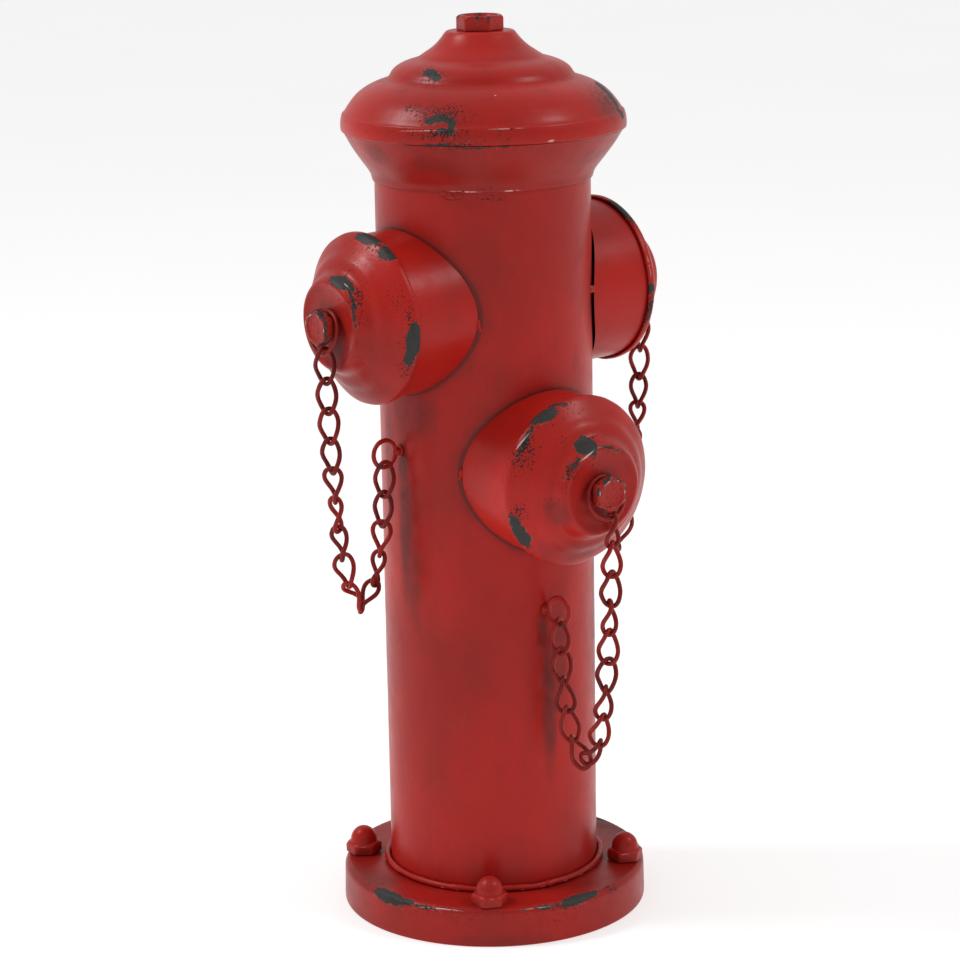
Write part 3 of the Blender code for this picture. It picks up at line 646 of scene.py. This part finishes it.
def dome_bend(p):
    k = min(1.0, max(0.0, (CROWN_Z - 1.5 - p.z) / (CROWN_Z - 1.5 - 314.0)))
    r = max(1.0, math.hypot(p.x, p.y))
    w = wob(p, 24.0, 0.18, 3.7) * min(1.0, r / 40)
    return Vector((p.x * (1 + w / r) + BONNET_LEAN[0] * k, p.y * (1 + w / r) + BONNET_LEAN[1] * k,
                   p.z + wob(p, 18.0, 0.20, 8.0) * min(1.0, r / 40)))


rim = curve([(53.9, 313.75), (54.6, 313.6), (55.15, 313.95), (55.35, 314.8), (55.35, 316.6), (55.1, 318.4),
             (54.75, 319.5)], 4)
ridge = curve([(54.75, 319.75), (54.5, 320.2), (54.0, 320.6), (53.3, 321.5), (52.4, 322.9), (51.35, 324.3),
               (50.15, 325.8), (48.7, 327.3), (46.8, 328.8), (44.4, 330.3), (41.5, 331.65), (39.0, 332.55),
               (37.3, 333.1), (36.1, 333.85), (35.3, 334.9), (34.5, 336.2), (33.2, 337.5), (31.4, 338.65),
               (29.2, 339.6), (27.2, 340.2), (25.5, 340.7), (24.1, 341.25), (22.7, 342.15), (21.1, 343.2),
               (19.3, 344.4), (17.6, 345.75), (16.1, 347.25), (14.9, 348.65), (13.95, 349.9), (13.3, 350.65),
               (12.5, 351.05), (11.2, 351.15)], 4)
dome_in = [Vector((5.2, 351.15)), Vector((5.2, 350.15)), Vector((12.0, 350.0)), Vector((15.0, 346.6)),
           Vector((20.5, 342.2)), Vector((27.0, 339.0)), Vector((32.0, 336.6)), Vector((35.0, 333.0)),
           Vector((41.0, 330.6)), Vector((47.5, 327.0)), Vector((51.0, 322.8)), Vector((53.4, 319.4)),
           Vector((54.2, 316.0)), Vector((54.1, 314.2))]
# the thin dark line under the lip at the front, and the bands at the lip, in the groove at z 333 and round the bolt's
# foot, are painted shade with glaze
dome_mat = red_paint(
    "paint_dome",
    wear=[((-30.9, -9.7, 338.0), (-0.52, -0.18, 0.83), (3.6, 2.1, 5.0), -24),
          ((-31.2, -13.7, 336.5), (-0.70, -0.31, 0.65), (2.3, 1.8, 5.0), 7),
          ((-41.2, -31.2, 323.6), (-0.64, -0.47, 0.60), (4.9, 1.5, 5.0), -1),
          ((-44.2, -28.3, 322.4), (-0.72, -0.45, 0.53), (1.9, 1.3, 5.0), 4),
          ((-40.0, -35.2, 321.3), (-0.62, -0.53, 0.58), (3.4, 1.6, 5.0), -88),
          ((-42.2, -34.7, 319.3), (-0.73, -0.60, 0.33), (2.6, 1.2, 5.0), -5),
          ((33.8, -36.5, 326.8), (0.49, -0.52, 0.70), (6.6, 3.2, 5.0), 69),
          ((34.0, -30.2, 330.0), (0.39, -0.35, 0.85), (2.6, 2.0, 5.0), 74),
          ((34.5, -43.5, 320.4), (0.6, -0.7, 0.2), (2.4, 2.6, 4.0), 30),
          ((-44.6, -31.6, 313.7), (-0.68, -0.44, -0.58), (11.0, 0.55, 2.0), 2),
          (polar(120, 54.5, 319.5), polar(120, 1, 0.3), (7, 1.4, 5), 3),
          (polar(60, 49.0, 327.0), polar(60, 0.7, 0.7), (4, 1.8, 5), 0)],
    speck=[((-31.6, -11.3, 337.0), (-0.65, -0.23, 0.72), (7.5, 4.6, 5.0), 8, 0.95),
           ((-40.9, -29.0, 325.5), (-0.63, -0.44, 0.64), (16.5, 7.0, 6.0), 4, 1.0),
           ((-45.6, -18.3, 326.7), (-0.67, -0.27, 0.69), (6.4, 3.2, 5.0), 8, 1.2),
           ((-44.0, -32.9, 318.1), (-0.79, -0.58, 0.17), (19.5, 2.7, 6.0), 3, 1.15),
           ((-41.3, -36.0, 313.8), (-0.58, -0.50, -0.64), (14.5, 2.2, 4.0), 3, 0.9),
           ((29.3, -40.3, 326.7), (0.42, -0.58, 0.70), (14.3, 9.0, 6.0), -18, 0.95)],
    # the pale lines on the dome's ridge and rim are painted highlights
    pale_edge_and_highlight=[((-48.0, -26.4, 319.2), (-0.85, -0.47, 0.23), (12.0, 0.32, 2.5), 3, 0.65),
           ((-24.8, -48.9, 319.9), (-0.46, -0.89, 0.00), (9.0, 0.30, 2.5), 0, 0.50),
           ((-8.8, -55.0, 314.5), (-0.16, -0.97, -0.16), (1.9, 0.6, 2.0), 7, 0.55),
           ((-21.5, -38.0, 331.5), (-0.23, -0.35, 0.91), (0.5, 0.5, 2.0), 0, 0.9)],
    dirt_and_shade=[((0, 0, 333.3), (0, 0, 1), (40, 40, 2.6), 0, 0.50), ((0, 0, 313.4), (0, 0, 1), (60, 60, 1.0), 0, 1.6), ((0, 0, 351.2), (0, 0, 1), (11, 11, 2.0), 0, 0.45),
          ((24.0, -44.0, 322.0), (0.4, -0.7, 0.5), (16.0, 8.0, 8.0), 0, 0.7)])
Shape().rows([circle(p.x, p.y, 256) for p in rim + ridge + dome_in], closed=True, bend=dome_bend) \
    .piece("bonnet_spun_dome", dome_mat, nodes=["bonnet_dome"], angle=50)

# indented hexagon bolt
BA, BZ = BONNET_AF, BONNET_TOP
z0 = CROWN_Z + 0.15
rows = [circle(4.85, z0 - 3, 96), circle(4.85, z0, 96), hexagon(BA - 0.6, z0, 96, 8.7), hexagon(BA, z0 + 0.25, 96, 9.15),
        hexagon(BA, BZ - 1.1, 96, 9.15), hexagon(BA, BZ - 0.55, 96, 8.75), hexagon(BA, BZ - 0.12, 96, 8.15),
        circle(7.55, BZ, 96), circle(6.95, BZ - 0.05, 96), circle(6.5, BZ - 0.4, 96), circle(6.15, BZ - 1.0, 96),
        circle(5.6, BZ - 1.65, 96), circle(4.4, BZ - 1.9, 96), circle(2.0, BZ - 1.95, 96)]
# the marks at the bottom of the recess and round the bolt's foot are painted shade
bb_mat = red_paint(
    "paint_bonnet_bolt", tone=-0.04, base_dirt=0.18,
    wear=[(polar(-104, 8.7, BZ - 0.3), (0, 0, 1), (0.9, 1.0, 2), 0),
          (polar(-134, 7.3, BZ - 0.1), (0, 0, 1), (1.6, 0.5, 2), -44),
          (polar(-15, 8.2, BZ), (0, 0, 1), (0.8, 2.2, 2), 0),
          (polar(60, 7.6, BZ), (0, 0, 1), (4.0, 0.8, 2), 0),
          (polar(150, 8.0, BZ), (0, 0, 1), (1.2, 2.2, 2), 0)],
    dirt_and_shade=[((0, 0, BZ - 1.9), (0, 0, 1), (7.0, 7.0, 1.5), 0, 1.0), ((0, 0, z0), (0, 0, 1), (12, 12, 1.8), 0, 0.95)],
    speck=[((0, 0, BZ), (0, 0, 1), (12, 12, 2.2), 0, 0.45)],
    # the pale marks on the bolt's top edges are painted highlights
    pale_edge_and_highlight=[(polar(-118, 7.9, BZ), (0, 0, 1), (1.5, 0.5, 1), 20, 0.9),
           (polar(-160, 7.2, BZ), (0, 0, 1), (0.4, 2.6, 0.8), 20, 0.5),
           (polar(-60, 7.2, BZ), (0, 0, 1), (2.6, 0.4, 0.8), 20, 0.5)])
Shape().rows(rows, m=Matrix.Rotation(math.radians(15.8), 4, "Z")) \
    .piece("bonnet_hex_bolt", bb_mat, nodes=["bonnet_bolt"], angle=32)

# ---------------------------------------------------------------- outlets
# the pale lines in these marks are painted highlights on the caps' rims and shoulders
CAP_MARKS = {
    "left": dict(
        wear=[((-59.5, -9.5, 278.2), (-0.39, -0.23, 0.89), (7.2, 2.7, 6.0), -17),
              ((-58.4, -19.6, 274.2), (-0.04, -0.54, 0.84), (4.4, 3.1, 6.0), -68),
              ((-72.8, -8.3, 263.1), (-0.47, -0.31, 0.82), (6.2, 2.8, 6.0), -26),
              ((-72.9, -15.1, 258.3), (-0.49, -0.65, 0.59), (3.6, 0.7, 5.0), -70),
              ((-73.9, -18.2, 251.0), (-0.72, -0.67, 0.19), (5.0, 0.45, 5.0), -81),
              ((-58.4, -34.1, 242.2), (-0.59, -0.80, -0.11), (7.0, 2.9, 6.0), 82),
              ((-58.7, -32.2, 235.8), (-0.70, -0.68, -0.24), (3.6, 1.9, 6.0), 69)],
        speck=[((-59.2, -33.3, 252.7), (-0.72, -0.68, 0.11), (3.0, 6.8, 4.0), 1, 0.95),
               ((-71.6, -16.8, 257.3), (-0.42, -0.73, 0.54), (4.5, 7.0, 4.5), -3, 0.95),
               ((-61.6, -29.1, 257.7), (-0.78, -0.58, 0.21), (9.0, 11.0, 5.0), 3, 0.50),
               ((-59.2, -29.1, 230.1), (-0.73, -0.59, -0.34), (4.0, 5.7, 4.0), 3, 0.75),
               ((-68.1, -8.8, 267.9), (-0.87, -0.20, 0.44), (7.0, 4.0, 4.0), 9, 0.45),
               ((-60.5, -14.0, 275.0), (-0.3, -0.35, 0.87), (10.0, 4.0, 4.0), -30, 0.55)],
        pale_edge_and_highlight=[((-72.4, -11.2, 262.2), (-0.44, -0.49, 0.75), (3.4, 0.35, 3.0), -48, 0.70),
               ((-56.9, -16.2, 275.3), (-0.02, -0.43, 0.90), (4.8, 0.6, 1.2), -60, 0.95)]),
    "front": dict(
        wear=[((-17.7, -60.4, 212.4), (-0.36, -0.72, 0.59), (6.0, 2.6, 6.0), 25),
              ((-11.6, -59.7, 215.8), (-0.32, -0.29, 0.90), (3.3, 0.9, 5.0), 22),
              ((-25.9, -60.3, 205.2), (-0.51, -0.76, 0.40), (5.0, 1.1, 5.0), 58),
              ((-7.3, -72.5, 201.5), (-0.30, -0.43, 0.85), (4.5, 4.3, 6.0), 25),
              ((1.6, -75.5, 199.8), (0.04, -0.94, 0.33), (5.8, 0.5, 4.0), -22),
              ((-14.7, -74.2, 195.2), (-0.57, -0.69, 0.44), (3.5, 0.7, 4.0), 51),
              ((-29.0, -59.2, 168.8), (-0.59, -0.73, -0.35), (8.0, 2.6, 6.0), -66)],
        speck=[((-28.3, -61.3, 199.2), (-0.55, -0.78, 0.29), (7.8, 11.5, 5.0), -1, 1.0),
               ((-28.0, -61.0, 202.0), (-0.55, -0.78, 0.29), (2.5, 9.0, 5.0), -25, 1.25),
               ((-16.4, -74.0, 193.1), (-0.66, -0.64, 0.38), (3.6, 5.4, 4.0), 1, 1.15),
               ((1.0, -75.6, 199.5), (-0.02, -1.00, -0.03), (8.2, 2.4, 4.0), -9, 0.85),
               ((-30.4, -61.0, 177.4), (-0.62, -0.76, -0.18), (4.7, 4.6, 4.0), 0, 1.05)],
        pale_edge_and_highlight=[((-27.6, -59.4, 203.8), (-0.74, -0.44, 0.51), (5.4, 0.45, 2.0), 60, 0.95),
               ((-9.0, -75.0, 198.3), (0.02, -0.99, 0.11), (4.6, 0.45, 2.0), 26, 0.95)],
        dirt_and_shade=[((-19.6, -69.9, 176.6), (-0.86, -0.39, -0.33), (7.6, 9.0, 5.0), 7, 0.85)]),
    "right": dict(
        wear=[((56.9, -14.0, 277.8), (-0.13, -0.44, 0.89), (8.5, 2.6, 6.0), -63),
              ((57.6, -32.2, 247.7), (-0.42, -0.91, -0.01), (1.9, 1.7, 5.0), -70)],
        speck=[((57.6, -31.0, 238.7), (-0.40, -0.88, -0.27), (3.6, 13.0, 5.0), -15, 2.0),
               ((58.0, -22.0, 274.0), (0.3, -0.6, 0.7), (9.0, 3.0, 5.0), -45, 0.9)],
        pale_edge_and_highlight=[((58.0, -31.5, 258.0), (0.2, -0.95, 0.2), (0.5, 8.0, 1.6), 0, 0.5)]),
}
TACK = {"right": 173.8}
for name, az, height, droop, tube_r, cap_r in OUTLETS:
    base, side, up, out = FRAMES[name]
    m = frame_at(base, side, up, out)
    n = 160

    def reach(r, a, wall):
        p = base + side * (r * math.cos(a)) + up * (r * math.sin(a))
        qa = out.x ** 2 + out.y ** 2
        qb = 2 * (p.x * out.x + p.y * out.y)
        qc = p.x ** 2 + p.y ** 2 - wall ** 2
        return (-qb + math.sqrt(max(0.0, qb * qb - 4 * qa * qc))) / (2 * qa)

    def slit(a):
        """How far the tube's end stands off the barrel: the right one is only
        tacked, so it gapes on the side that faces the front."""
        if name != "right":
            return 0.0
        d = (math.degrees(a) - 179.0 + 180) % 360 - 180
        k = max(0.0, 1 - abs(d / 56.0) ** 2.6)
        return 1.1 * k

    r_out, r_in = 31.9, 30.7
    rows = []
    steps = 14
    for s in range(steps + 1):
        f = s / steps
        row = []
        for i in range(n):
            a = 2 * math.pi * i / n
            z_start = reach(r_out, a, 42.55) + slit(a)
            z = z_start + (57.9 - z_start) * f
            w = wob(Vector((r_out * math.cos(a), r_out * math.sin(a), z)), 22.0, 0.14, az / 10)
            row.append(Vector(((r_out + w) * math.cos(a), (r_out + w) * math.sin(a), z)))
        rows.append(row)
    rows.append(circle(r_in, 57.9, n))
    rows.append([Vector((r_in * math.cos(2 * math.pi * i / n), r_in * math.sin(2 * math.pi * i / n),
                         reach(r_in, 2 * math.pi * i / n, 42.55) + slit(2 * math.pi * i / n))) for i in range(n)])
    wall_pt = base + out * 44
    # the front tube's tone is raised to stand in for the light on it; the tube is darker towards the bottom, and the
    # band at the cap is painted shade in the joint
    tube_mat = red_paint("paint_outlet_" + name, tone={"left": 0.03, "front": 0.22, "right": -0.04}[name],
                         dirt_and_shade=[(tuple(base + out * 38 - up * 26), tuple(out), (30, 12, 14), 0, 0.40),
                               (tuple(base + out * 57), tuple(out), (34, 34, 2.2), 0, 0.30)])
    Shape().rows(rows, closed=True, m=m).piece("outlet_tube_" + name, tube_mat, nodes=["outlet_" + name], angle=50)

    # pressed cap
    lip = curve([(32.2, 57.0), (32.45, 56.5), (32.95, 56.35), (33.3, 56.75), (33.38, 57.6), (33.3, 58.4)], 4)
    face = curve([(33.25, 58.6), (32.95, 59.25), (32.3, 59.95), (31.2, 60.9), (29.9, 61.95), (28.6, 62.9),
                  (27.6, 63.65), (26.7, 64.45), (25.7, 65.5), (24.6, 66.55), (23.2, 67.45), (21.8, 68.15),
                  (20.7, 68.85), (19.9, 69.8), (19.3, 71.0), (18.75, 72.2), (18.1, 73.4), (17.3, 74.3),
                  (16.6, 74.72), (15.95, 74.78), (15.2, 74.55), (13.6, 74.05), (11.4, 73.75), (8.0, 73.6),
                  (4.25, 73.6)], 4)
    back = [Vector((4.25, 72.6)), Vector((14.0, 72.8)), Vector((17.0, 71.6)), Vector((18.6, 68.6)),
            Vector((22.5, 66.3)), Vector((26.5, 63.1)), Vector((30.5, 59.6)), Vector((32.2, 58.4))]
    prof = lip + face + back

    def cap_bend(p, az=az):
        r = max(1.0, math.hypot(p.x, p.y))
        w = wob(p, 15.0, 0.22, az / 7) * min(1.0, r / 20) + wob(p, 6.0, 0.06, az / 9)
        if abs(r - 33.3) < 0.35 and p.z < 58.0:
            w += wob(p, 5.0, 0.12, az)
        return Vector((p.x * (1 + w / r), p.y * (1 + w / r), p.z + wob(p, 13.0, 0.25, az / 5) * min(1, r / 25)))

    marks = dict(CAP_MARKS[name])
    # the ring in the groove, the dish round the bolt and the patch under it are painted shade; the cap is darker
    # towards the bottom
    dirt_and_shade = marks.pop("dirt_and_shade", []) + [(tuple(base + out * 69.4), tuple(out), (22.5, 22.5, 2.6), 0, 0.35),
            (tuple(base + out * 73.6), tuple(out), (12.5, 12.5, 3.0), 0, 0.75),
            (tuple(base + out * 62 - up * 23), tuple(out), (24, 15, 9), 0, 0.62),
            (tuple(base + out * 73.6 - up * 8 + side * 2), tuple(out), (9, 6, 3), 0, 0.9)]
    # the front cap's tone is raised to stand in for the light on it
    cap_mat = red_paint("paint_cap_" + name, tone={"left": 0.0, "front": 0.08, "right": 0.0}[name], dirt_and_shade=dirt_and_shade, base_dirt=0.04, base_speck=0.03, **marks)
    Shape().rows([circle(p.x, p.y, 224) for p in prof], closed=True, m=m, bend=cap_bend) \
        .piece("cap_lid_" + name, cap_mat, nodes=["cap_" + name], angle=50)

    # hexagon bolt, dished face, one corner down
    md = m @ Matrix.Rotation(math.pi / 2, 4, "Z")
    hb, hf = CAP_HEX_BACK, CAP_HEX_FACE
    rows = [circle(3.9, 70.0, 96), circle(3.9, hb, 96), hexagon(12.4, hb, 96, 6.8), hexagon(13.0, hb + 0.3, 96, 7.4),
            hexagon(13.0, hf - 1.0, 96, 7.4), hexagon(12.8, hf - 0.45, 96, 6.95), hexagon(12.5, hf - 0.1, 96, 6.4),
            circle(5.85, hf, 96), circle(5.4, hf - 0.06, 96), circle(5.05, hf - 0.35, 96), circle(4.6, hf - 0.55, 96),
            circle(2.5, hf - 0.62, 96)]
    c = base + out * hf

    def edge(x, y, roll, long, wide, deep=1.6, *more):
        return (tuple(c + side * x + up * y), tuple(out), (long, wide, deep), roll, *more)

    bolt_mat = red_paint(
        "paint_cap_bolt_" + name, base_dirt=0.10,
        wear=[edge(-3.1, 5.55, 30, 3.6, 0.50), edge(3.1, 5.55, -30, 3.6, 0.50), edge(6.35, 0.6, 90, 3.0, 0.42),
              edge(-6.35, 2.6, 90, 1.5, 0.40), edge(-3.2, -5.6, -30, 2.4, 0.34), edge(4.2, -4.9, 30, 1.8, 0.34)],
        # the mark under the head is painted shade in the gap between head and cap
        dirt_and_shade=[(tuple(base + out * hb), tuple(out), (12, 12, 1.9), 0, 1.0)],
        speck=[(tuple(c), tuple(out), (9.5, 9.5, 2.0), 0, 0.25)],
        # the pale lines along the hex edges are painted highlights
        pale_edge_and_highlight=[edge(-2.6, 4.9, 30, 2.2, 0.28, 1.2, 0.95), edge(2.2, 5.2, -30, 1.2, 0.25, 1.2, 0.9),
               edge(5.75, 0.0, 90, 1.6, 0.25, 1.2, 0.85), edge(-6.0, 1.4, 90, 1.4, 0.25, 1.2, 0.8)])
    Shape().rows(rows, m=md).piece("cap_hex_bolt_" + name, bolt_mat, nodes=["cap_bolt_" + name], angle=32)

    # loose ring of wire round the bolt
    t = math.radians(CAP_RING_TILT)
    mr = frame_at(base + out * CAP_RING_D, side, up, out) @ Matrix.Translation((0, -CAP_RING_DROP, 0)) \
        @ Matrix.Rotation(-t, 4, "X")
    pts = [Vector((CAP_RING_R * math.cos(2 * math.pi * i / 90), CAP_RING_R * math.sin(2 * math.pi * i / 90), 0))
           for i in range(90)]
    ring_mat = red_paint("paint_cap_ring_" + name, tone=-0.12, base_dirt=0.30, base_speck=0.18)
    Shape().wire(pts, WIRE_R - 0.05, m=mr, sides=14, grain=0.05) \
        .piece("wire_ring_" + name, ring_mat, body="ring_" + name, nodes=["cap_ring_" + name], angle=80)

# the right outlet's tack weld, in its open seam
base, side, up, out = FRAMES["right"]
a = math.radians(TACK["right"])
p = base + side * (31.6 * math.cos(a)) + up * (31.6 * math.sin(a)) + out * 27.9
rad = (side * math.cos(a) + up * math.sin(a)).normalized()
Shape().lump(p, (rad, up, out), (1.4, 1.7, 2.2), 4.4, 12) \
    .piece("weld_outlet_right", red_paint("paint_weld_right", base_dirt=0.2), angle=70)


# --------------------------------------------------------- rings and chains
def ring_bottom(side_name):
    base, side, up, out = FRAMES[side_name]
    t = math.radians(CAP_RING_TILT)
    x = HOOK_SIDE[side_name]
    drop = math.sqrt(CAP_RING_R ** 2 - x ** 2)
    return (base + out * (CAP_RING_D + drop * math.sin(t)) + side * x
            - up * (CAP_RING_DROP + drop * math.cos(t)))


def hang(span, rise, lens):
    """Rigid links hanging between two pins: slopes k * (i - m)."""
    def end(k, m):
        x = y = 0.0
        for i, ln in enumerate(lens):
            s = k * (i - m)
            q = math.hypot(1.0, s)
            x += ln / q
            y += ln * s / q
        return x, y
    lo_k, hi_k = 0.01, 50.0
    m = len(lens) / 2
    for _ in range(60):
        k = math.sqrt(lo_k * hi_k)
        lo_m, hi_m = -1.0, len(lens)
        for _ in range(60):
            m = (lo_m + hi_m) / 2
            if end(k, m)[1] > rise:
                lo_m = m
            else:
                hi_m = m
        if end(k, m)[0] > span:
            lo_k = k
        else:
            hi_k = k
    return [Vector((1.0, k * (i - m))).normalized() for i in range(len(lens))]


# how far each link has turned about its own length, in degrees
ROLLS = {"left": (1, 0, 5, 22, 48, 72, 50, 20, 58, 35, 20, 45, 70, 88),
         "front": (10, 55, 72, 32, 75, 92, 45, 70, 60, 40, 25, 40, 8, 20),
         "right": (-5, 30, 10, 30, 60, 80, 60, 40, 30, 45, 60, 75, 85, 90)}


def link_path(n=60):
    """One twisted link: an oval along Z whose ends are a quarter turn apart."""
    a, b = LINK_HOLE / 2 + WIRE_R, LINK_WIDTH / 2 - WIRE_R
    pts = []
    for i in range(n):
        q = 2 * math.pi * i / n
        c, s = math.cos(q), math.sin(q)
        u = b * math.copysign(abs(s) ** 0.82, s)
        v = a * math.copysign(abs(c) ** 0.90, c)
        f = max(-1.0, min(1.0, v / a))
        ang = math.radians(45) + math.radians(45) * math.sin(math.pi / 2 * f)
        pts.append(Vector((u * math.cos(ang), u * math.sin(ang), v)))
    # even spacing keeps the wire round
    for _ in range(6):
        pts = [(pts[i - 1] + pts[i] * 6 + pts[(i + 1) % n]) / 8 for i in range(n)]
    return pts


chain_mats = [red_paint("paint_chain_%d" % i, tone=t, base_dirt=0.30 + 0.12 * i, base_speck=0.22)
              for i, t in enumerate((-0.10, -0.22, -0.32))]
for side_name, weld_az, weld_z, point_az, reach_mm in WALL_RINGS:
    a, b = math.radians(weld_az), math.radians(point_az)
    radial = Vector((math.cos(b), math.sin(b), 0))
    cross = Vector((-math.sin(b), math.cos(b), 0))
    weld_pt = Vector((BARREL_R * math.cos(a), BARREL_R * math.sin(a), weld_z))
    centre = weld_pt + radial * reach_mm
    n_out = Vector((math.cos(a), math.sin(a), 0))
    pts = [centre + (radial * math.cos(2 * math.pi * i / 80) + Vector((0, 0, 1)) * math.sin(2 * math.pi * i / 80))
           * WALL_RING_R for i in range(80)]
    bead_r = (reach_mm - WALL_RING_R + WIRE_R) / 2
    s = Shape().wire(pts, WIRE_R, sides=14, grain=0.06)
    tan = Vector((-n_out.y, n_out.x, 0))
    s.lump(weld_pt + n_out * (bead_r - 0.1), (n_out, tan, Vector((0, 0, 1))), (bead_r + 0.25, 1.75, 1.75), weld_z, 14)
    s.lump(weld_pt + n_out * 0.4, (n_out, tan, Vector((0, 0, 1))), (1.0, 2.3, 2.4), weld_z + 2, 12)
    mat = red_paint("paint_wall_ring_" + side_name, tone=-0.04, base_dirt=0.20, base_speck=0.12,
                    dirt_and_shade=[(tuple(weld_pt), tuple(n_out), (4, 4, 1.6), 0, 0.9)],
                    wear=[(tuple(centre + radial * 3 + Vector((0, 0, -5.0))), tuple(n_out), (1.6, 0.8, 1.6), 0)])
    s.piece("barrel_ring_" + side_name, mat, nodes=["wall_ring_" + side_name], angle=60)

    start = ring_bottom(side_name)
    stop = centre - Vector((0, 0, WALL_RING_R))
    flat = Vector((stop.x - start.x, stop.y - start.y, 0))
    hdir = flat.normalized()
    across = Vector((0, 0, 1)).cross(hdir)
    lens = [LINK_PITCH] * (LINKS - 1) + [END_LEN]
    dirs = hang(flat.length, stop.z - start.z, lens)
    at = start.copy()
    base_pts = link_path()
    for i, d in enumerate(dirs):
        along = hdir * d.x + Vector((0, 0, d.y))
        mid = at + along * (LINK_HOLE / 2 - WIRE_R - GAP)
        inplane = across.cross(along)
        m = frame_at(mid, inplane, across, along)
        # no two links are bent quite alike
        k = i * 1.7 + weld_z
        turn = Matrix.Rotation(math.radians(ROLLS[side_name][i]), 3, "Z")
        pear = 0.20 * math.sin(k * 2.3 + 0.6) if 0 < i < LINKS - 1 else 0.0
        pts = []
        for p in base_pts:
            g = 1 + 0.06 * noise.noise(Vector((k, 1, 0))) + pear * p.z / 6.9
            pts.append(turn @ Vector((p.x * g + 0.18 * noise.noise(Vector((p.z / 5, k, 2))),
                                      p.y * g + 0.18 * noise.noise(Vector((p.z / 5, k, 9))), p.z)))
        Shape().wire(pts, WIRE_R - (0.06 if i == 0 else 0.0), m=m, sides=12, grain=0.05) \
            .piece("link_%s_%02d" % (side_name, i + 1), chain_mats[(i * 2 + int(weld_z)) % 3],
                   body="chain_" + side_name, nodes=["chain_%s_%d" % (side_name, i // 2 + 1)], angle=80)
        at = at + along * lens[i]

# ------------------------------------------- CAD nodes that stay as they are
plate_mat = red_paint("paint_base_plate", tone=-0.25, base_dirt=0.5, base_speck=0.1)
for node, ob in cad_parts.items():
    if ob.hide_render:
        continue
    mat = plate_mat if node == "base_plate" else STEEL
    if len(ob.material_slots) == 0:
        ob.data.materials.append(mat)
    for s in ob.material_slots:
        s.link = "OBJECT"
        s.material = mat

# --------------------------------------------------------- floor and light
sc = bpy.context.scene
import bmesh
bm = bmesh.new()
bmesh.ops.create_grid(bm, x_segments=8, y_segments=8, size=14.0)
fm = bpy.data.meshes.new("floor")
bm.to_mesh(fm)
bm.free()
floor = bpy.data.objects.new("floor", fm)
sc.collection.objects.link(floor)
floor.location.z = -0.0002
fmat = bpy.data.materials.new("pale_floor")
fmat.use_nodes = True
N = Nodes(fmat.node_tree)
fb = fmat.node_tree.nodes["Principled BSDF"]
ftc = N.new("ShaderNodeTexCoord")
N.put(fb.inputs["Base Color"], N.mix(N.noise(ftc.outputs["Object"], 3.0, 3.0), (0.60, 0.60, 0.60, 1), (0.64, 0.64, 0.635, 1)))
fb.inputs["Roughness"].default_value = 0.85
fb.inputs["Specular IOR Level"].default_value = 0.2
fb.inputs["Emission Color"].default_value = (1.0, 1.0, 1.0, 1.0)
fb.inputs["Emission Strength"].default_value = 0.52
fm.materials.append(fmat)

world = bpy.data.worlds.new("studio")
sc.world = world
world.use_nodes = True
bg = world.node_tree.nodes.get("Background") or world.node_tree.nodes.new("ShaderNodeBackground")
bg.inputs["Color"].default_value = (1.0, 1.0, 1.0, 1)
wo = world.node_tree.nodes.get("World Output") or world.node_tree.nodes.new("ShaderNodeOutputWorld")
world.node_tree.links.new(bg.outputs[0], wo.inputs[0])
# a bright tent, dimmer on the side the camera stands on
W = Nodes(world.node_tree)
wc = W.new("ShaderNodeTexCoord")
dot = W.new("ShaderNodeVectorMath", operation="DOT_PRODUCT")
W.put(dot.inputs[0], wc.outputs["Generated"])
dot.inputs[1].default_value = Matrix.Rotation(math.radians(-36.5), 4, "Z") @ Vector((0.0, -0.96, 0.28))
W.put(bg.inputs["Strength"], W.step(dot.outputs["Value"], 0.1, 0.95, 0.66, 0.44))


def softbox(name, at, aim, size, watts, colour=(1, 1, 1)):
    li = bpy.data.lights.new(name, "AREA")
    li.shape = "RECTANGLE"
    li.size, li.size_y = size
    li.energy = watts
    li.color = colour
    ob = bpy.data.objects.new(name, li)
    sc.collection.objects.link(ob)
    ob.location = at
    d = Vector(aim) - Vector(at)
    ob.rotation_euler = d.to_track_quat("-Z", "Y").to_euler()
    return ob


ROT = Matrix.Rotation(math.radians(-36.5), 4, "Z")


def cam_side(x, y, z):
    """A place given as seen from the camera: x right, y away from it."""
    return ROT @ Vector((x, y, z))


softbox("softbox_left", cam_side(-1.05, -0.05, 1.35), (0, 0, 0.20), (0.30, 0.40), 9.5)
softbox("softbox_right", cam_side(1.12, -0.32, 1.35), (0, 0, 0.20), (0.30, 0.40), 6.0)

# ------------------------------------------------------------------ camera
DH, ZC, YAW, PITCH, ROLL, FPX = 27.3956, 10.9640, -0.0026772, -0.2445699, -0.0180099, 2982.36
cy, sy = math.cos(YAW), math.sin(YAW)
cp, sp = math.cos(PITCH), math.sin(PITCH)
fwd = Vector((sy * cp, cy * cp, sp))
rgt = Vector((cy, -sy, 0))
upv = rgt.cross(fwd)
cr, sr = math.cos(ROLL), math.sin(ROLL)
r2 = cr * rgt + sr * upv
u2 = -sr * rgt + cr * upv
cm = Matrix((r2, u2, -fwd)).transposed().to_4x4()
cm.translation = Vector((0, -DH * 0.042, ZC * 0.042))
cam = bpy.data.cameras.new("camera")
cam.sensor_width = 36.0
cam.lens = FPX / 960 * 36
cam.clip_start, cam.clip_end = 0.01, 60.0
co = bpy.data.objects.new("camera", cam)
sc.collection.objects.link(co)
co.matrix_world = ROT @ cm
sc.camera = co
sc.view_settings.view_transform = "Standard"
sc.view_settings.look = "None"
